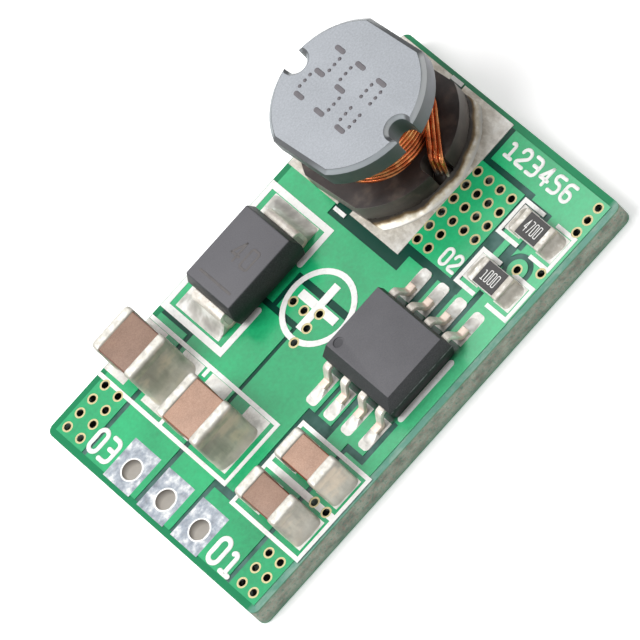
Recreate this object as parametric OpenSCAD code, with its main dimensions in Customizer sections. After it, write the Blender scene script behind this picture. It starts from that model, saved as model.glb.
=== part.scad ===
// Boost converter module: a two-sided board with a drum-core inductor, a rectifier diode,
// an eight-lead controller, four ceramic capacitors and two chip resistors.
// X runs along the board from the terminal end, Y across it and Z up from the underside.
// An area is written as [X from, X to, Y from, Y to].

/* [Board] */
// Length of the board along X
board_length = 23.9; // [15:0.1:40]
// Width of the board along Y
board_width = 15.6; // [10:0.1:30]
// Rounding of the board's corners
board_round = 0.4; // [0.1:0.01:0.8]
// Finished thickness over the copper of both sides
board_thickness = 1.2; // [0.6:0.1:2.4]
// Thickness of one copper layer with its mask
copper_thickness = 0.04; // [0.02:0.005:0.1]
// Bare margin between the copper and the edges
copper_margin = 0.35; // [0.1:0.05:1]
// Clearance of the lower copper around the terminal pads
lower_clearance = 0.4; // [0.2:0.05:1]

/* [Etched gaps] */
// Gap below the output vias
gap_output_rail = [-11.7, -4.42, 5.2, 5.48]; // [-13:0.01:13]
// Gap beside the diode box
gap_output_side = [-4.62, -4.42, 5.2, 7.6]; // [-13:0.01:13]
// Gap between the output and ground terminals
gap_ground_left = [-11.7, -7, 1.15, 1.44]; // [-13:0.01:13]
// The same gap beyond the large capacitors
gap_ground_right = [-7, -1.08, 1.05, 1.27]; // [-13:0.01:13]
// Gap between the ground and input terminals
gap_input_rail = [-11.7, -8.5, -1.45, -1.17]; // [-13:0.01:13]
// Gap that turns down beside the large capacitors
gap_input_side = [-8.88, -8.5, -2.66, -1.17]; // [-13:0.01:13]
// Gap behind the small capacitors
gap_input_back = [-8.88, -3.95, -2.66, -2.42]; // [-13:0.01:13]
// Gap beside the small capacitors
gap_input_right = [-4.12, -3.55, -4.33, -2.42]; // [-13:0.01:13]
// Gap between the input vias and the input label
gap_input_label = [-11.7, -3.62, -5.6, -5.34]; // [-13:0.01:13]
// Gap behind the second lead
gap_second_lead_back = [-3.7, -1.2, -3.08, -2.84]; // [-13:0.01:13]
// Gap in front of the second lead
gap_second_lead_front = [-4.12, -1.2, -4.33, -4]; // [-13:0.01:13]
// Gap beside the fourth lead
gap_fourth_lead_side = [-3.95, -3.62, -6.75, -5.34]; // [-13:0.01:13]
// Gap in front of the fourth lead
gap_fourth_lead_front = [-3.95, -1.6, -6.75, -6.42]; // [-13:0.01:13]
// Gap left of the target mark
gap_mark_left = [-1.38, -1.08, 1.05, 3.62]; // [-13:0.01:13]
// Gap behind the target mark
gap_mark_back = [-1.38, 0.73, 2.78, 3.08]; // [-13:0.01:13]
// Gap right of the target mark
gap_mark_right = [0.37, 0.73, -2.4, 3.08]; // [-13:0.01:13]
// Gap beside the inductor lands
gap_inductor_side = [3.5, 4.08, -0.93, 4.18]; // [-13:0.01:13]
// Gap in front of the inductor land
gap_inductor_front = [3.5, 4.77, -0.93, -0.37]; // [-13:0.01:13]
// Gap between the two inductor lands
gap_inductor_middle = [3.5, 11.7, 3.16, 4.08]; // [-13:0.01:13]
// Gap left of the via field
gap_field_left = [4.35, 4.77, -4.33, -0.93]; // [-13:0.01:13]
// Gap right of the via field
gap_field_right = [9.65, 9.95, -3.75, -0.37]; // [-13:0.01:13]
// Gap in front of the right end of the inductor land
gap_inductor_right = [9.65, 11.7, -0.68, -0.37]; // [-13:0.01:13]
// Gap in front of the via field
gap_field_front = [4.35, 9.95, -3.92, -3.46]; // [-13:0.01:13]
// Gap between the resistor boxes, behind the trace
gap_divider_back = [6.72, 7.66, -4.3, -3.7]; // [-13:0.01:13]
// Gap between the resistor boxes, in front of the trace
gap_divider_middle = [6.5, 7.75, -5.16, -4.66]; // [-13:0.01:13]
// Gap right of the right resistor
gap_divider_right = [9.3, 9.68, -5.38, -3.7]; // [-13:0.01:13]
// Gap in front of the right resistor's back land
gap_divider_front = [7.62, 9.68, -5.38, -5.06]; // [-13:0.01:13]
// Gap in front of the fifth lead
gap_fifth_lead = [2.2, 5.2, -5.42, -5.1]; // [-13:0.01:13]
// Gap in front of the sixth lead
gap_sixth_lead = [2.2, 4.6, -4.28, -3.88]; // [-13:0.01:13]
// Gap in front of the seventh lead
gap_seventh_lead = [2.2, 4.6, -3, -2.6]; // [-13:0.01:13]
// Inner radius of the round gap about the sense via
gap_ring_inner = 0.52; // [0.3:0.01:1]
// Width of the round gap about the sense via
gap_ring_width = 0.28; // [0.1:0.01:0.6]

/* [Vias] */
// Bore of a via
via_bore = 0.36; // [0.2:0.01:0.8]
// Plating of a via's wall
via_plating = 0.03; // [0.02:0.005:0.1]
// Width of a via's ring beyond the plating
via_ring = 0.06; // [0.05:0.01:0.3]
// First via of the output group
output_via_first = [-11.18, 6.05]; // [-13:0.01:13]
// Steps of the output group
output_via_step = [0.83, 0.99]; // [0.5:0.01:3]
// Columns of the output group
output_via_columns = 4; // [1:1:8]
// First via of the input group
input_via_first = [-11.2, -6.97]; // [-13:0.01:13]
// Steps of the input group
input_via_step = [0.87, 0.83]; // [0.5:0.01:3]
// Columns of the input group
input_via_columns = 3; // [1:1:8]
// First via between the small capacitors
middle_via_first = [-6.51, -7]; // [-13:0.01:13]
// Step of the vias between the small capacitors
middle_via_step = [1, 0.85]; // [0.5:0.01:3]
// First via of the two rows next to the inductor
field_via_first = [5.16, -1.43]; // [-13:0.01:13]
// Steps of the via field
field_via_step = [0.795, 0.81]; // [0.5:0.01:3]
// Columns of the two rows next to the inductor
field_via_columns = 6; // [1:1:8]
// Columns that the two front rows leave out
field_via_left_out = 2; // [0:1:5]
// First via of the row at the target mark
mark_via_first = [-1.82, 0.64]; // [-13:0.01:13]
// Steps of the vias at the target mark
mark_via_step = [0.84, 0.8]; // [0.5:0.01:3]
// Vias in the row at the target mark
mark_via_columns = 3; // [1:1:8]
// First via of the column at the target mark
mark_via_upper = [-0.46, 1.44]; // [-13:0.01:13]
// First via at the front right corner
corner_via_first = [9.8, -6.98]; // [-13:0.01:13]
// Steps of the vias at the front right corner
corner_via_step = [0.71, 1]; // [0.5:0.01:3]
// Vias at the front right corner
corner_via_columns = 3; // [1:1:8]
// Single via at the front edge
front_via = [7.43, -7.03]; // [-13:0.01:13]
// Sense via between the resistors
sense_via = [6.9, -5.91]; // [-13:0.01:13]

/* [Terminals] */
// Bore of a terminal hole
terminal_bore = 1.02; // [0.6:0.01:1.6]
// Spacing of the terminal holes
terminal_pitch = 2.54; // [2:0.01:5.08]
// Middle terminal hole
terminal_middle = [-10.72, 0.12]; // [-13:0.01:13]
// Size of a terminal pad
terminal_pad = [2.18, 1.93]; // [1:0.01:3]
// Offset of a pad from its hole
terminal_pad_offset = [0.1, 0.1]; // [-0.3:0.01:0.3]
// Wall of a terminal's barrel, its plating and tin together
terminal_plating = 0.17; // [0.16:0.01:0.25]

/* [Legend] */
// Thickness of the legend print
legend_thickness = 0.02; // [0.01:0.005:0.05]
// Width of a thin legend line
legend_line = 0.21; // [0.1:0.01:0.5]
// Width of a thick legend line
legend_line_thick = 0.34; // [0.1:0.01:0.6]
// Box around the large capacitors, open at the back edge
legend_large_box = [-8.58, -4.93, -1.87, 7.76]; // [-13:0.01:13]
// Level of the short ticks between the large capacitors
legend_tick_level = 3.2; // [-8:0.01:8]
// Length of the short ticks
legend_tick_length = 0.42; // [0.1:0.01:1]
// Box around the small capacitors
legend_small_box = [-8.98, -4.12, -7.68, -2.65]; // [-13:0.01:13]
// Middle of the bar between the small capacitors
legend_small_bar = -6.53; // [-13:0.01:13]
// Box around the diode
legend_diode_box = [-4.42, 3.1, 3.18, 7.76]; // [-13:0.01:13]
// Opening in the front line of the diode box
legend_diode_opening = [-1.78, 1]; // [-13:0.01:13]
// Bar in front of the controller
legend_controller_bar = [-1.3, 1.92, -6.81, -6.48]; // [-13:0.01:13]
// Box around the left resistor
legend_left_box = [4.77, 6.76, -7.4, -3.67]; // [-13:0.01:13]
// Box around the right resistor
legend_right_box = [7.6, 9.6, -7.3, -3.58]; // [-13:0.01:13]
// Opening in the sides of the resistor boxes
legend_resistor_opening = [-5.92, -5.06]; // [-13:0.01:13]
// Centre of the target mark
legend_mark = [0.05, 0.94]; // [-13:0.01:13]
// Outer radius of the target mark
legend_mark_radius = 1.93; // [0.5:0.01:3]
// Width of the target mark's ring
legend_mark_line = 0.29; // [0.1:0.01:0.6]
// Width of the target mark's cross
legend_mark_bar = 0.44; // [0.1:0.01:0.8]
// Length of the target mark's cross
legend_mark_span = 2.6; // [0.5:0.01:3.4]
// Ticks beside the inductor
legend_inductor_tick = [3.78, 3.98, 3.26, 4.06]; // [-13:0.01:13]
// Distance from the left to the right tick beside the inductor
legend_inductor_span = 7.78; // [5:0.01:9]

/* [Inductor] */
// Centre of the inductor
inductor_place = [7.75, 4.05]; // [-13:0.01:13]
// Turn of the inductor on its lands
inductor_turn = 4.9; // [-15:0.1:15]
// Total height of the core on its electrodes
inductor_height = 4.66; // [3:0.01:8]
// Thickness of the electrodes
electrode_thickness = 0.1; // [0.05:0.01:0.3]
// Free strip between the electrodes
electrode_gap = 2; // [0.5:0.1:4]
// Radius of the lower flange
base_radius = 3.93; // [2:0.01:6]
// Half the width across the flats of the lower flange
base_flat = 3.54; // [2:0.01:6]
// Thickness of the lower flange
base_height = 1.25; // [0.5:0.01:2]
// Radius of the upper flange
cap_radius = 3.87; // [2:0.01:6]
// Half the width across the flats of the upper flange
cap_flat = 3.46; // [2:0.01:6]
// Thickness of the upper flange
cap_height = 1.22; // [0.5:0.01:2]
// Bevel of the upper flange's rim at the top
cap_bevel = 0.2; // [0.05:0.01:0.5]
// Bevel of the upper flange's rim at the underside
cap_lower_bevel = 0.15; // [0.05:0.01:0.4]
// Radius of the wire notches
notch_radius = 0.52; // [0.2:0.01:0.8]
// Distance of a notch's round end from the axis
notch_reach = 3.46; // [2:0.01:6]
// Bevel of the notches at the top
notch_bevel = 0.18; // [0.02:0.01:0.3]
// Radius of the post inside the winding
post_radius = 1.6; // [1:0.01:3]
// Outer radius of the winding
winding_radius = 2.7; // [1.8:0.01:2.9]
// Thickness of one strand of the wire
wire_diameter = 0.24; // [0.1:0.01:0.6]
// Clearance between two strands of a wire end
strand_clearance = 0.015; // [0.005:0.005:0.1]
// Strands in a wire end
lead_strands = 3; // [1:1:3]
// Direction against X across which the strands lie side by side in the notch
lead_direction = 25; // [20:1:40]
// Distance of the middle strand from the round end's centre of the notch
lead_inset = 0.1; // [0:0.01:0.2]
// Heights above the lower flange at which the first and last strand meet the winding
lead_height = [0.3, 1.3]; // [0.15:0.01:1.5]
// Angle of one straight step of a strand on the winding
lead_wrap_step = 12; // [6:1:20]
// Rise of a strand over one such step
lead_climb = 0.08; // [0:0.01:0.1]
// Steps of a strand on the winding
lead_wrap_steps = 2; // [1:1:3]
// Front land of the inductor
inductor_land_front = [4.08, 11.73, -0.37, 3.16]; // [-13:0.01:13]
// Back land of the inductor
inductor_land_back = [4.08, 11.73, 4.08, 7.74]; // [-13:0.01:13]

/* [Diode] */
// Centre of the diode
diode_place = [-0.62, 4.92]; // [-13:0.01:13]
// Size of the body at its widest
diode_body_size = [4.46, 3.46]; // [2:0.01:8]
// Size of the body's top
diode_top_size = [4.02, 3.2]; // [2:0.01:8]
// Size of the body's underside
diode_under_size = [4.24, 3.24]; // [2:0.01:8]
// Height of the diode above the lands
diode_height = 1.7; // [1:0.01:3]
// Clearance under the body
diode_lift = 0.24; // [0.2:0.01:0.5]
// Height of the leads where they leave the body
diode_lead_level = 0.95; // [0.5:0.01:1.5]
// Thickness of the leads
diode_lead_thickness = 0.2; // [0.1:0.01:0.4]
// Width of the leads
diode_lead_width = 2.2; // [1:0.01:3.4]
// Half the length over both leads
diode_lead_span = 2.66; // [2.5:0.01:4]
// Bend radius of the leads at mid-thickness
diode_bend = 0.18; // [0.11:0.01:0.3]
// Length of a lead's foot under the body
diode_foot = 1.1; // [0.4:0.01:1.6]
// Lands of the diode: distance from its centre to the inner and outer end
diode_land_reach = [1.3, 3.34]; // [0.5:0.01:5]
// Lands of the diode: front and back edge
diode_land_edges = [3.88, 7.1]; // [-8:0.01:8]

/* [Controller] */
// Centre of the controller
controller_place = [0.5, -4.18]; // [-13:0.01:13]
// Size of the body at its widest
controller_body_size = [4, 4.9]; // [3:0.01:8]
// Insets of the top at the two long sides
controller_top_inset = [0.46, 0.14]; // [0.02:0.01:1]
// Inset of the top at the two short sides
controller_end_inset = 0.19; // [0.02:0.01:1]
// Inset of the underside
controller_under_inset = 0.13; // [0.02:0.01:1]
// Height of the controller above the lands
controller_height = 1.44; // [1:0.01:2.5]
// Clearance under the body
controller_lift = 0.1; // [0.05:0.01:0.4]
// Diameter of the dimple at the first lead
controller_dimple = 0.52; // [0.2:0.01:1]
// Depth of the dimple
controller_dimple_depth = 0.03; // [0.01:0.01:0.1]
// Distance of the dimple from the edges of the top
controller_dimple_inset = 0.44; // [0.3:0.01:1.5]
// Leads on each side
controller_rows = 4; // [4:1:4]
// Spacing of the leads
controller_pitch = 1.27; // [0.8:0.01:2]
// Width of a lead
controller_lead_width = 0.42; // [0.2:0.01:0.8]
// Thickness of a lead
controller_lead_thickness = 0.2; // [0.1:0.01:0.4]
// Height of a lead where it leaves the body
controller_lead_level = 0.74; // [0.4:0.01:1.2]
// Distance from the body to the upper bend
controller_shoulder = 0.14; // [0.02:0.01:1]
// Slope of a lead between its bends
controller_slope = 64; // [30:1:88]
// Bend radius of a lead at mid-thickness
controller_bend = 0.19; // [0.11:0.01:0.3]
// Length of a lead's straight foot
controller_foot = 0.34; // [0.1:0.01:1]
// Width of a controller land
controller_land_width = 0.7; // [0.3:0.01:1]
// Lands of the controller: distance from its centre to the inner and outer end
controller_land_reach = [2.25, 3.92]; // [1:0.01:6]
// Rounding of the lands' outer corners
controller_land_round = 0.22; // [0.05:0.01:0.3]

/* [Large capacitors] */
// Centre of the back large capacitor
output_capacitor_1_place = [-6.62, 5.94]; // [-13:0.01:13]
// Centre of the front large capacitor
output_capacitor_2_place = [-6.96, 0.68]; // [-13:0.01:13]
// Size of a large capacitor
large_capacitor_size = [2.45, 3.06, 2.2]; // [0.5:0.01:5]
// Length of its end caps
large_capacitor_cap = 0.46; // [0.2:0.01:1]
// Middle of the large capacitors' lands along X
large_land_middle = -6.66; // [-13:0.01:13]
// Width of the large capacitors' lands
large_land_width = 3; // [1:0.01:4]
// Lands of the back large capacitor: middle between them
large_land_back = 5.61; // [-8:0.01:8]
// Lands of the front large capacitor: middle between them
large_land_front = 0.76; // [-8:0.01:8]
// Lands of the large capacitors: distance from the middle to the inner and outer end
large_land_reach = [0.66, 2.14]; // [0.2:0.01:4]

/* [Small capacitors] */
// Centre of the left small capacitor
input_capacitor_1_place = [-7.71, -5.09]; // [-13:0.01:13]
// Centre of the right small capacitor
input_capacitor_2_place = [-5.32, -5.3]; // [-13:0.01:13]
// Size of a small capacitor
small_capacitor_size = [1.62, 3.1, 1.6]; // [0.5:0.01:5]
// Length of its end caps
small_capacitor_cap = 0.52; // [0.2:0.01:1]
// Width of the small capacitors' lands
small_land_width = 1.62; // [0.5:0.01:3]
// Middle between the lands of the small capacitors
small_land_middle = -5.08; // [-8:0.01:8]
// Lands of the small capacitors: distance from the middle to the inner and outer end
small_land_reach = [0.75, 2.24]; // [0.2:0.01:4]

/* [Capacitor build] */
// Wall of the end caps
capacitor_wall = 0.08; // [0.08:0.01:0.2]
// Rounding of the end caps
capacitor_round = 0.18; // [0.05:0.01:0.18]

/* [Resistors] */
// Centre of the left resistor
left_resistor_place = [5.86, -5.5]; // [-13:0.01:13]
// Centre of the right resistor
right_resistor_place = [8.66, -5.44]; // [-13:0.01:13]
// Size of a resistor
resistor_size = [1.27, 2.06, 0.5]; // [0.2:0.01:4]
// Length of its end caps
resistor_cap = 0.36; // [0.1:0.01:0.8]
// Wall of the end caps
resistor_wall = 0.03; // [0.02:0.01:0.1]
// Rounding of the end caps
resistor_round = 0.05; // [0.02:0.01:0.07]
// Thickness of the overcoat
overcoat_thickness = 0.03; // [0.01:0.01:0.1]
// Inset of the overcoat at the long sides
overcoat_inset = 0.03; // [0.01:0.01:0.2]
// Width of the resistors' lands
resistor_land_width = 1.36; // [0.5:0.01:2]
// Lands of the resistors: distance from the middle to the inner and outer end
resistor_land_reach = [0.58, 1.62]; // [0.2:0.01:4]

/* [Solder] */
// Rise of the solder at the controller's toes
toe_rise = 0.17; // [0.05:0.01:0.3]
// Rise of the solder at the diode's leads
diode_solder_rise = 0.6; // [0.1:0.01:0.8]
// Rise of the solder at the large capacitors
large_solder_rise = 1.2; // [0.3:0.05:2]
// Rise of the solder at the small capacitors
small_solder_rise = 0.88; // [0.3:0.02:1.4]
// Rise of the solder at the resistors
resistor_solder_rise = 0.4; // [0.1:0.02:0.45]
// Rise of the solder at the inductor
inductor_solder_rise = 0.42; // [0.1:0.01:1]
// Reach of the solder at the inductor
inductor_solder_reach = 0.5; // [0.1:0.01:0.8]
// Thickness of the solder at its outer edge
solder_lip = 0.03; // [0.01:0.01:0.1]
// Hollow of a fillet: 0 is straight, 1 follows its corner
solder_hollow = 0.5; // [0:0.05:0.9]
// Straight steps across a fillet
solder_steps = 5; // [2:1:8]

/* [Hidden] */
$fn = 64;
via_fn = 24;
overcut = 0.02;
wire_fn = 16;
corner_fn = 20;
deck = board_thickness - copper_thickness;
seat = board_thickness;
via_wall_radius = via_bore / 2 + via_plating;
via_ring_radius = via_wall_radius + via_ring;
terminal_wall_radius = terminal_bore / 2 + terminal_plating;
controller_leg = (controller_lead_level - controller_lead_thickness / 2
    - 2 * controller_bend * (1 - cos(controller_slope))) / sin(controller_slope);
controller_toe = controller_body_size[0] / 2 + controller_shoulder
    + 2 * controller_bend * sin(controller_slope) + controller_leg * cos(controller_slope) + controller_foot;
base_top = electrode_thickness + base_height;
cap_under = inductor_height - cap_height;
window = cap_under - base_top;
turns = max(1, floor(window / wire_diameter));
copper_area = [
    -board_length / 2 + copper_margin, board_length / 2 - copper_margin,
    -board_width / 2 + copper_margin, board_width / 2 - copper_margin
];

function between(pair, part) = pair[0] + (pair[1] - pair[0]) * part;
function polar(radius, angle, height) = [radius * sin(angle), -radius * cos(angle), height];
function side_of(number) = number <= controller_rows ? -1 : 1;
function row_of(number) = number <= controller_rows ? number - 1 : 2 * controller_rows - number;
function lead_y(number) =
    controller_place[1] + ((controller_rows - 1) / 2 - row_of(number)) * controller_pitch;

module slab(area, level, height)
    translate([area[0], area[2], level])
        cube([area[1] - area[0], area[3] - area[2], height]);

module block(place, size, level, height)
    translate([place[0] - size[0] / 2, place[1] - size[1] / 2, level])
        cube([size[0], size[1], height]);

// A round wire along the points of a path.
module wire(path, diameter)
    for (step = [1 : len(path) - 1])
        hull() {
            translate(path[step - 1])
                sphere(d = diameter, $fn = wire_fn);
            translate(path[step])
                sphere(d = diameter, $fn = wire_fn);
        }

// A strip bent along a path of [length, turn] pairs, in the XY plane and upright along Z.
module strip(path, thickness, width, radius, step = 0)
    if (step < len(path)) {
        turn = path[step][1];
        side = turn < 0 ? -1 : 1;
        translate([0, -thickness / 2, 0])
            cube([path[step][0], thickness, width]);
        translate([path[step][0], side * radius, 0]) {
            if (turn != 0)
                rotate([0, 0, turn < 0 ? 90 + turn : -90])
                    rotate_extrude(angle = abs(turn))
                        translate([radius - thickness / 2, 0])
                            square([thickness, width]);
            rotate([0, 0, turn])
                translate([0, -side * radius, 0])
                    strip(path, thickness, width, radius, step + 1);
        }
    }

module via_grid(first, step, columns, rows)
    for (column = [0 : columns - 1], row = [0 : rows - 1])
        translate([first[0] + column * step[0], first[1] + row * step[1], 0])
            children();

// The two rows in front of the field's full rows leave out its first columns.
module via_sites() {
    front_first = [
        field_via_first[0] + field_via_left_out * field_via_step[0],
        field_via_first[1] - 2 * field_via_step[1]
    ];
    via_grid(output_via_first, output_via_step, output_via_columns, 2) children();
    via_grid(input_via_first, input_via_step, input_via_columns, 2) children();
    via_grid(middle_via_first, middle_via_step, 1, 2) children();
    via_grid(field_via_first, field_via_step, field_via_columns, 2) children();
    via_grid(front_first, field_via_step, field_via_columns - field_via_left_out, 2) children();
    via_grid(mark_via_first, mark_via_step, mark_via_columns, 1) children();
    via_grid(mark_via_upper, mark_via_step, 1, 2) children();
    via_grid(corner_via_first, corner_via_step, corner_via_columns, 1) children();
    via_grid(front_via, corner_via_step, 1, 1) children();
    via_grid(sense_via, corner_via_step, 1, 1) children();
}

module terminal_at(step)
    translate([terminal_middle[0], terminal_middle[1] + step * terminal_pitch, 0])
        children();

module terminal_sites()
    for (step = [-1 : 1])
        terminal_at(step) children();

module terminal_plate(level, height, margin)
    block(terminal_pad_offset, terminal_pad + [2 * margin, 2 * margin], level, height);

// A plate about the origin whose corners are round.
module round_plate(size, round, level, height) {
    block([0, 0], [size[0], size[1] - 2 * round], level, height);
    block([0, 0], [size[0] - 2 * round, size[1]], level, height);
    for (end = [-1, 1], side = [-1, 1])
        translate([end * (size[0] / 2 - round), side * (size[1] / 2 - round), level])
            cylinder(r = round, h = height);
}

module circuit_board()
    color("olivedrab")
        difference() {
            round_plate([board_length, board_width], board_round, copper_thickness,
                        deck - copper_thickness);
            via_sites() cylinder(r = via_wall_radius, h = board_thickness, $fn = via_fn);
            terminal_sites() cylinder(r = terminal_wall_radius, h = board_thickness);
        }

module etched_gaps(level, height) {
    slab(gap_output_rail, level, height);
    slab(gap_output_side, level, height);
    slab(gap_ground_left, level, height);
    slab(gap_ground_right, level, height);
    slab(gap_input_rail, level, height);
    slab(gap_input_side, level, height);
    slab(gap_input_back, level, height);
    slab(gap_input_right, level, height);
    slab(gap_input_label, level, height);
    slab(gap_second_lead_back, level, height);
    slab(gap_second_lead_front, level, height);
    slab(gap_fourth_lead_side, level, height);
    slab(gap_fourth_lead_front, level, height);
    slab(gap_mark_left, level, height);
    slab(gap_mark_back, level, height);
    slab(gap_mark_right, level, height);
    slab(gap_inductor_side, level, height);
    slab(gap_inductor_front, level, height);
    slab(gap_inductor_middle, level, height);
    slab(gap_field_left, level, height);
    slab(gap_field_right, level, height);
    slab(gap_inductor_right, level, height);
    slab(gap_field_front, level, height);
    slab(gap_divider_back, level, height);
    slab(gap_divider_middle, level, height);
    slab(gap_divider_right, level, height);
    slab(gap_divider_front, level, height);
    slab(gap_fifth_lead, level, height);
    slab(gap_sixth_lead, level, height);
    slab(gap_seventh_lead, level, height);
    translate([sense_via[0], sense_via[1], level])
        difference() {
            cylinder(r = gap_ring_inner + gap_ring_width, h = height);
            cylinder(r = gap_ring_inner, h = height);
        }
}

module copper_pour_top()
    color("mediumseagreen")
        difference() {
            slab(copper_area, deck, copper_thickness);
            etched_gaps(deck - overcut, copper_thickness + 2 * overcut);
            land_plates(deck - overcut, copper_thickness + 2 * overcut);
            terminal_sites() terminal_plate(deck - overcut, copper_thickness + 2 * overcut, 0);
            translate([0, 0, deck - overcut])
                via_sites() cylinder(r = via_ring_radius, h = copper_thickness + 2 * overcut, $fn = via_fn);
        }

module copper_pour_bottom()
    color("seagreen")
        difference() {
            slab(copper_area, 0, copper_thickness);
            translate([0, 0, -overcut]) {
                terminal_sites() terminal_plate(0, copper_thickness + 2 * overcut, lower_clearance);
                via_sites() cylinder(r = via_ring_radius, h = copper_thickness + 2 * overcut, $fn = via_fn);
            }
        }

module via_barrels()
    color("khaki")
        via_sites()
            difference() {
                union() {
                    cylinder(r = via_wall_radius, h = board_thickness, $fn = via_fn);
                    cylinder(r = via_ring_radius, h = copper_thickness, $fn = via_fn);
                    translate([0, 0, deck])
                        cylinder(r = via_ring_radius, h = copper_thickness, $fn = via_fn);
                }
                translate([0, 0, -overcut])
                    cylinder(d = via_bore, h = board_thickness + 2 * overcut, $fn = via_fn);
            }

module terminal(step)
    color("silver")
        terminal_at(step)
            difference() {
                union() {
                    cylinder(r = terminal_wall_radius, h = board_thickness);
                    terminal_plate(0, copper_thickness, 0);
                    terminal_plate(deck, copper_thickness, 0);
                }
                translate([0, 0, -overcut])
                    cylinder(d = terminal_bore, h = board_thickness + 2 * overcut);
            }

module output_terminal() terminal(1);
module ground_terminal() terminal(0);
module input_terminal() terminal(-1);

// A pair of plates that face each other across a middle point along Y.
module land_pair(middle, width, reach, level, height)
    for (side = [-1, 1])
        block([middle[0], middle[1] + side * between(reach, 1 / 2)], [width, reach[1] - reach[0]],
              level, height);

// A land along X whose outer corners are round.
module round_land(reach, width, round, height) {
    slab([reach[0], reach[1] - round, -width / 2, width / 2], 0, height);
    slab([reach[0], reach[1], round - width / 2, width / 2 - round], 0, height);
    for (side = [-1, 1])
        translate([reach[1] - round, side * (width / 2 - round), 0])
            cylinder(r = round, h = height);
}

module land_plates(level, height) {
    slab(inductor_land_front, level, height);
    slab(inductor_land_back, level, height);
    for (side = [-1, 1])
        block([diode_place[0] + side * between(diode_land_reach, 1 / 2), between(diode_land_edges, 1 / 2)],
              [diode_land_reach[1] - diode_land_reach[0], diode_land_edges[1] - diode_land_edges[0]],
              level, height);
    for (number = [1 : 2 * controller_rows])
        translate([controller_place[0], lead_y(number), level])
            rotate([0, 0, side_of(number) < 0 ? 180 : 0])
                round_land(controller_land_reach, controller_land_width, controller_land_round, height);
    for (middle = [large_land_back, large_land_front])
        land_pair([large_land_middle, middle], large_land_width, large_land_reach, level, height);
    for (place = [input_capacitor_1_place, input_capacitor_2_place])
        land_pair([place[0], small_land_middle], small_land_width, small_land_reach, level, height);
    land_pair(left_resistor_place, resistor_land_width, resistor_land_reach, level, height);
    land_pair(right_resistor_place, resistor_land_width, resistor_land_reach, level, height);
}

module solder_lands()
    color("gainsboro")
        difference() {
            land_plates(deck, copper_thickness);
            translate([0, 0, deck - overcut])
                via_sites() cylinder(r = via_ring_radius, h = copper_thickness + 2 * overcut, $fn = via_fn);
        }

// A frame of legend lines just inside an area.
module legend_frame(area, line)
    difference() {
        slab(area, seat, legend_thickness);
        slab([area[0] + line, area[1] - line, area[2] + line, area[3] - line],
             seat - overcut, legend_thickness + 2 * overcut);
    }

module resistor_frame(area)
    difference() {
        legend_frame(area, legend_line);
        slab([area[0] - overcut, area[1] + overcut, legend_resistor_opening[0], legend_resistor_opening[1]],
             seat - overcut, legend_thickness + 2 * overcut);
    }

module silkscreen_legend() {
    tick = [legend_inductor_tick[0] + legend_inductor_span, legend_inductor_tick[1] + legend_inductor_span,
            legend_inductor_tick[2], legend_inductor_tick[3]];
    color("whitesmoke")
        difference() {
            union() {
                difference() {
                    legend_frame(legend_large_box, legend_line);
                    slab([legend_large_box[0] + legend_line, legend_large_box[1] - legend_line,
                          legend_large_box[3] - 2 * legend_line, legend_large_box[3] + overcut],
                         seat - overcut, legend_thickness + 2 * overcut);
                }
                for (edge = [legend_large_box[0] + legend_line,
                             legend_large_box[1] - legend_line - legend_tick_length])
                    slab([edge, edge + legend_tick_length, legend_tick_level - legend_line / 2,
                          legend_tick_level + legend_line / 2], seat, legend_thickness);
                legend_frame(legend_small_box, legend_line);
                slab([legend_small_bar - legend_line_thick / 2, legend_small_bar + legend_line_thick / 2,
                      legend_small_box[2] + legend_line, legend_small_box[3] - legend_line],
                     seat, legend_thickness);
                difference() {
                    legend_frame(legend_diode_box, legend_line_thick);
                    slab([legend_diode_opening[0], legend_diode_opening[1], legend_diode_box[2] - overcut,
                          legend_diode_box[2] + 2 * legend_line_thick],
                         seat - overcut, legend_thickness + 2 * overcut);
                }
                for (opening = legend_diode_opening)
                    translate([opening, legend_diode_box[2] + legend_line_thick / 2, seat])
                        cylinder(d = legend_line_thick, h = legend_thickness);
                slab(legend_controller_bar, seat, legend_thickness);
                for (end = [legend_controller_bar[0], legend_controller_bar[1]])
                    translate([end, (legend_controller_bar[2] + legend_controller_bar[3]) / 2, seat])
                        cylinder(d = legend_controller_bar[3] - legend_controller_bar[2],
                                 h = legend_thickness);
                resistor_frame(legend_left_box);
                resistor_frame(legend_right_box);
                slab(legend_inductor_tick, seat, legend_thickness);
                slab(tick, seat, legend_thickness);
                translate([legend_mark[0], legend_mark[1], seat])
                    difference() {
                        cylinder(r = legend_mark_radius, h = legend_thickness);
                        translate([0, 0, -overcut])
                            cylinder(r = legend_mark_radius - legend_mark_line,
                                     h = legend_thickness + 2 * overcut);
                    }
                block(legend_mark, [legend_mark_span, legend_mark_bar], seat, legend_thickness);
                block(legend_mark, [legend_mark_bar, legend_mark_span], seat, legend_thickness);
            }
            translate([0, 0, seat - overcut])
                via_sites() cylinder(r = via_ring_radius, h = legend_thickness + 2 * overcut, $fn = via_fn);
            land_plates(seat - overcut, legend_thickness + 2 * overcut);
        }
}

module on_inductor()
    translate([inductor_place[0], inductor_place[1], seat])
        rotate([0, 0, inductor_turn])
            children();

module drum_plate(radius, flat, level, height)
    intersection() {
        translate([0, 0, level]) cylinder(r = radius, h = height);
        slab([-flat, flat, -radius, radius], level, height);
    }

module notches(level, height)
    for (side = [0, 180])
        rotate([0, 0, side])
            translate([0, -notch_reach, level]) {
                cylinder(r = notch_radius, h = height);
                slab([-notch_radius, notch_radius, -2 * notch_reach, 0], 0, height);
            }

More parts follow.
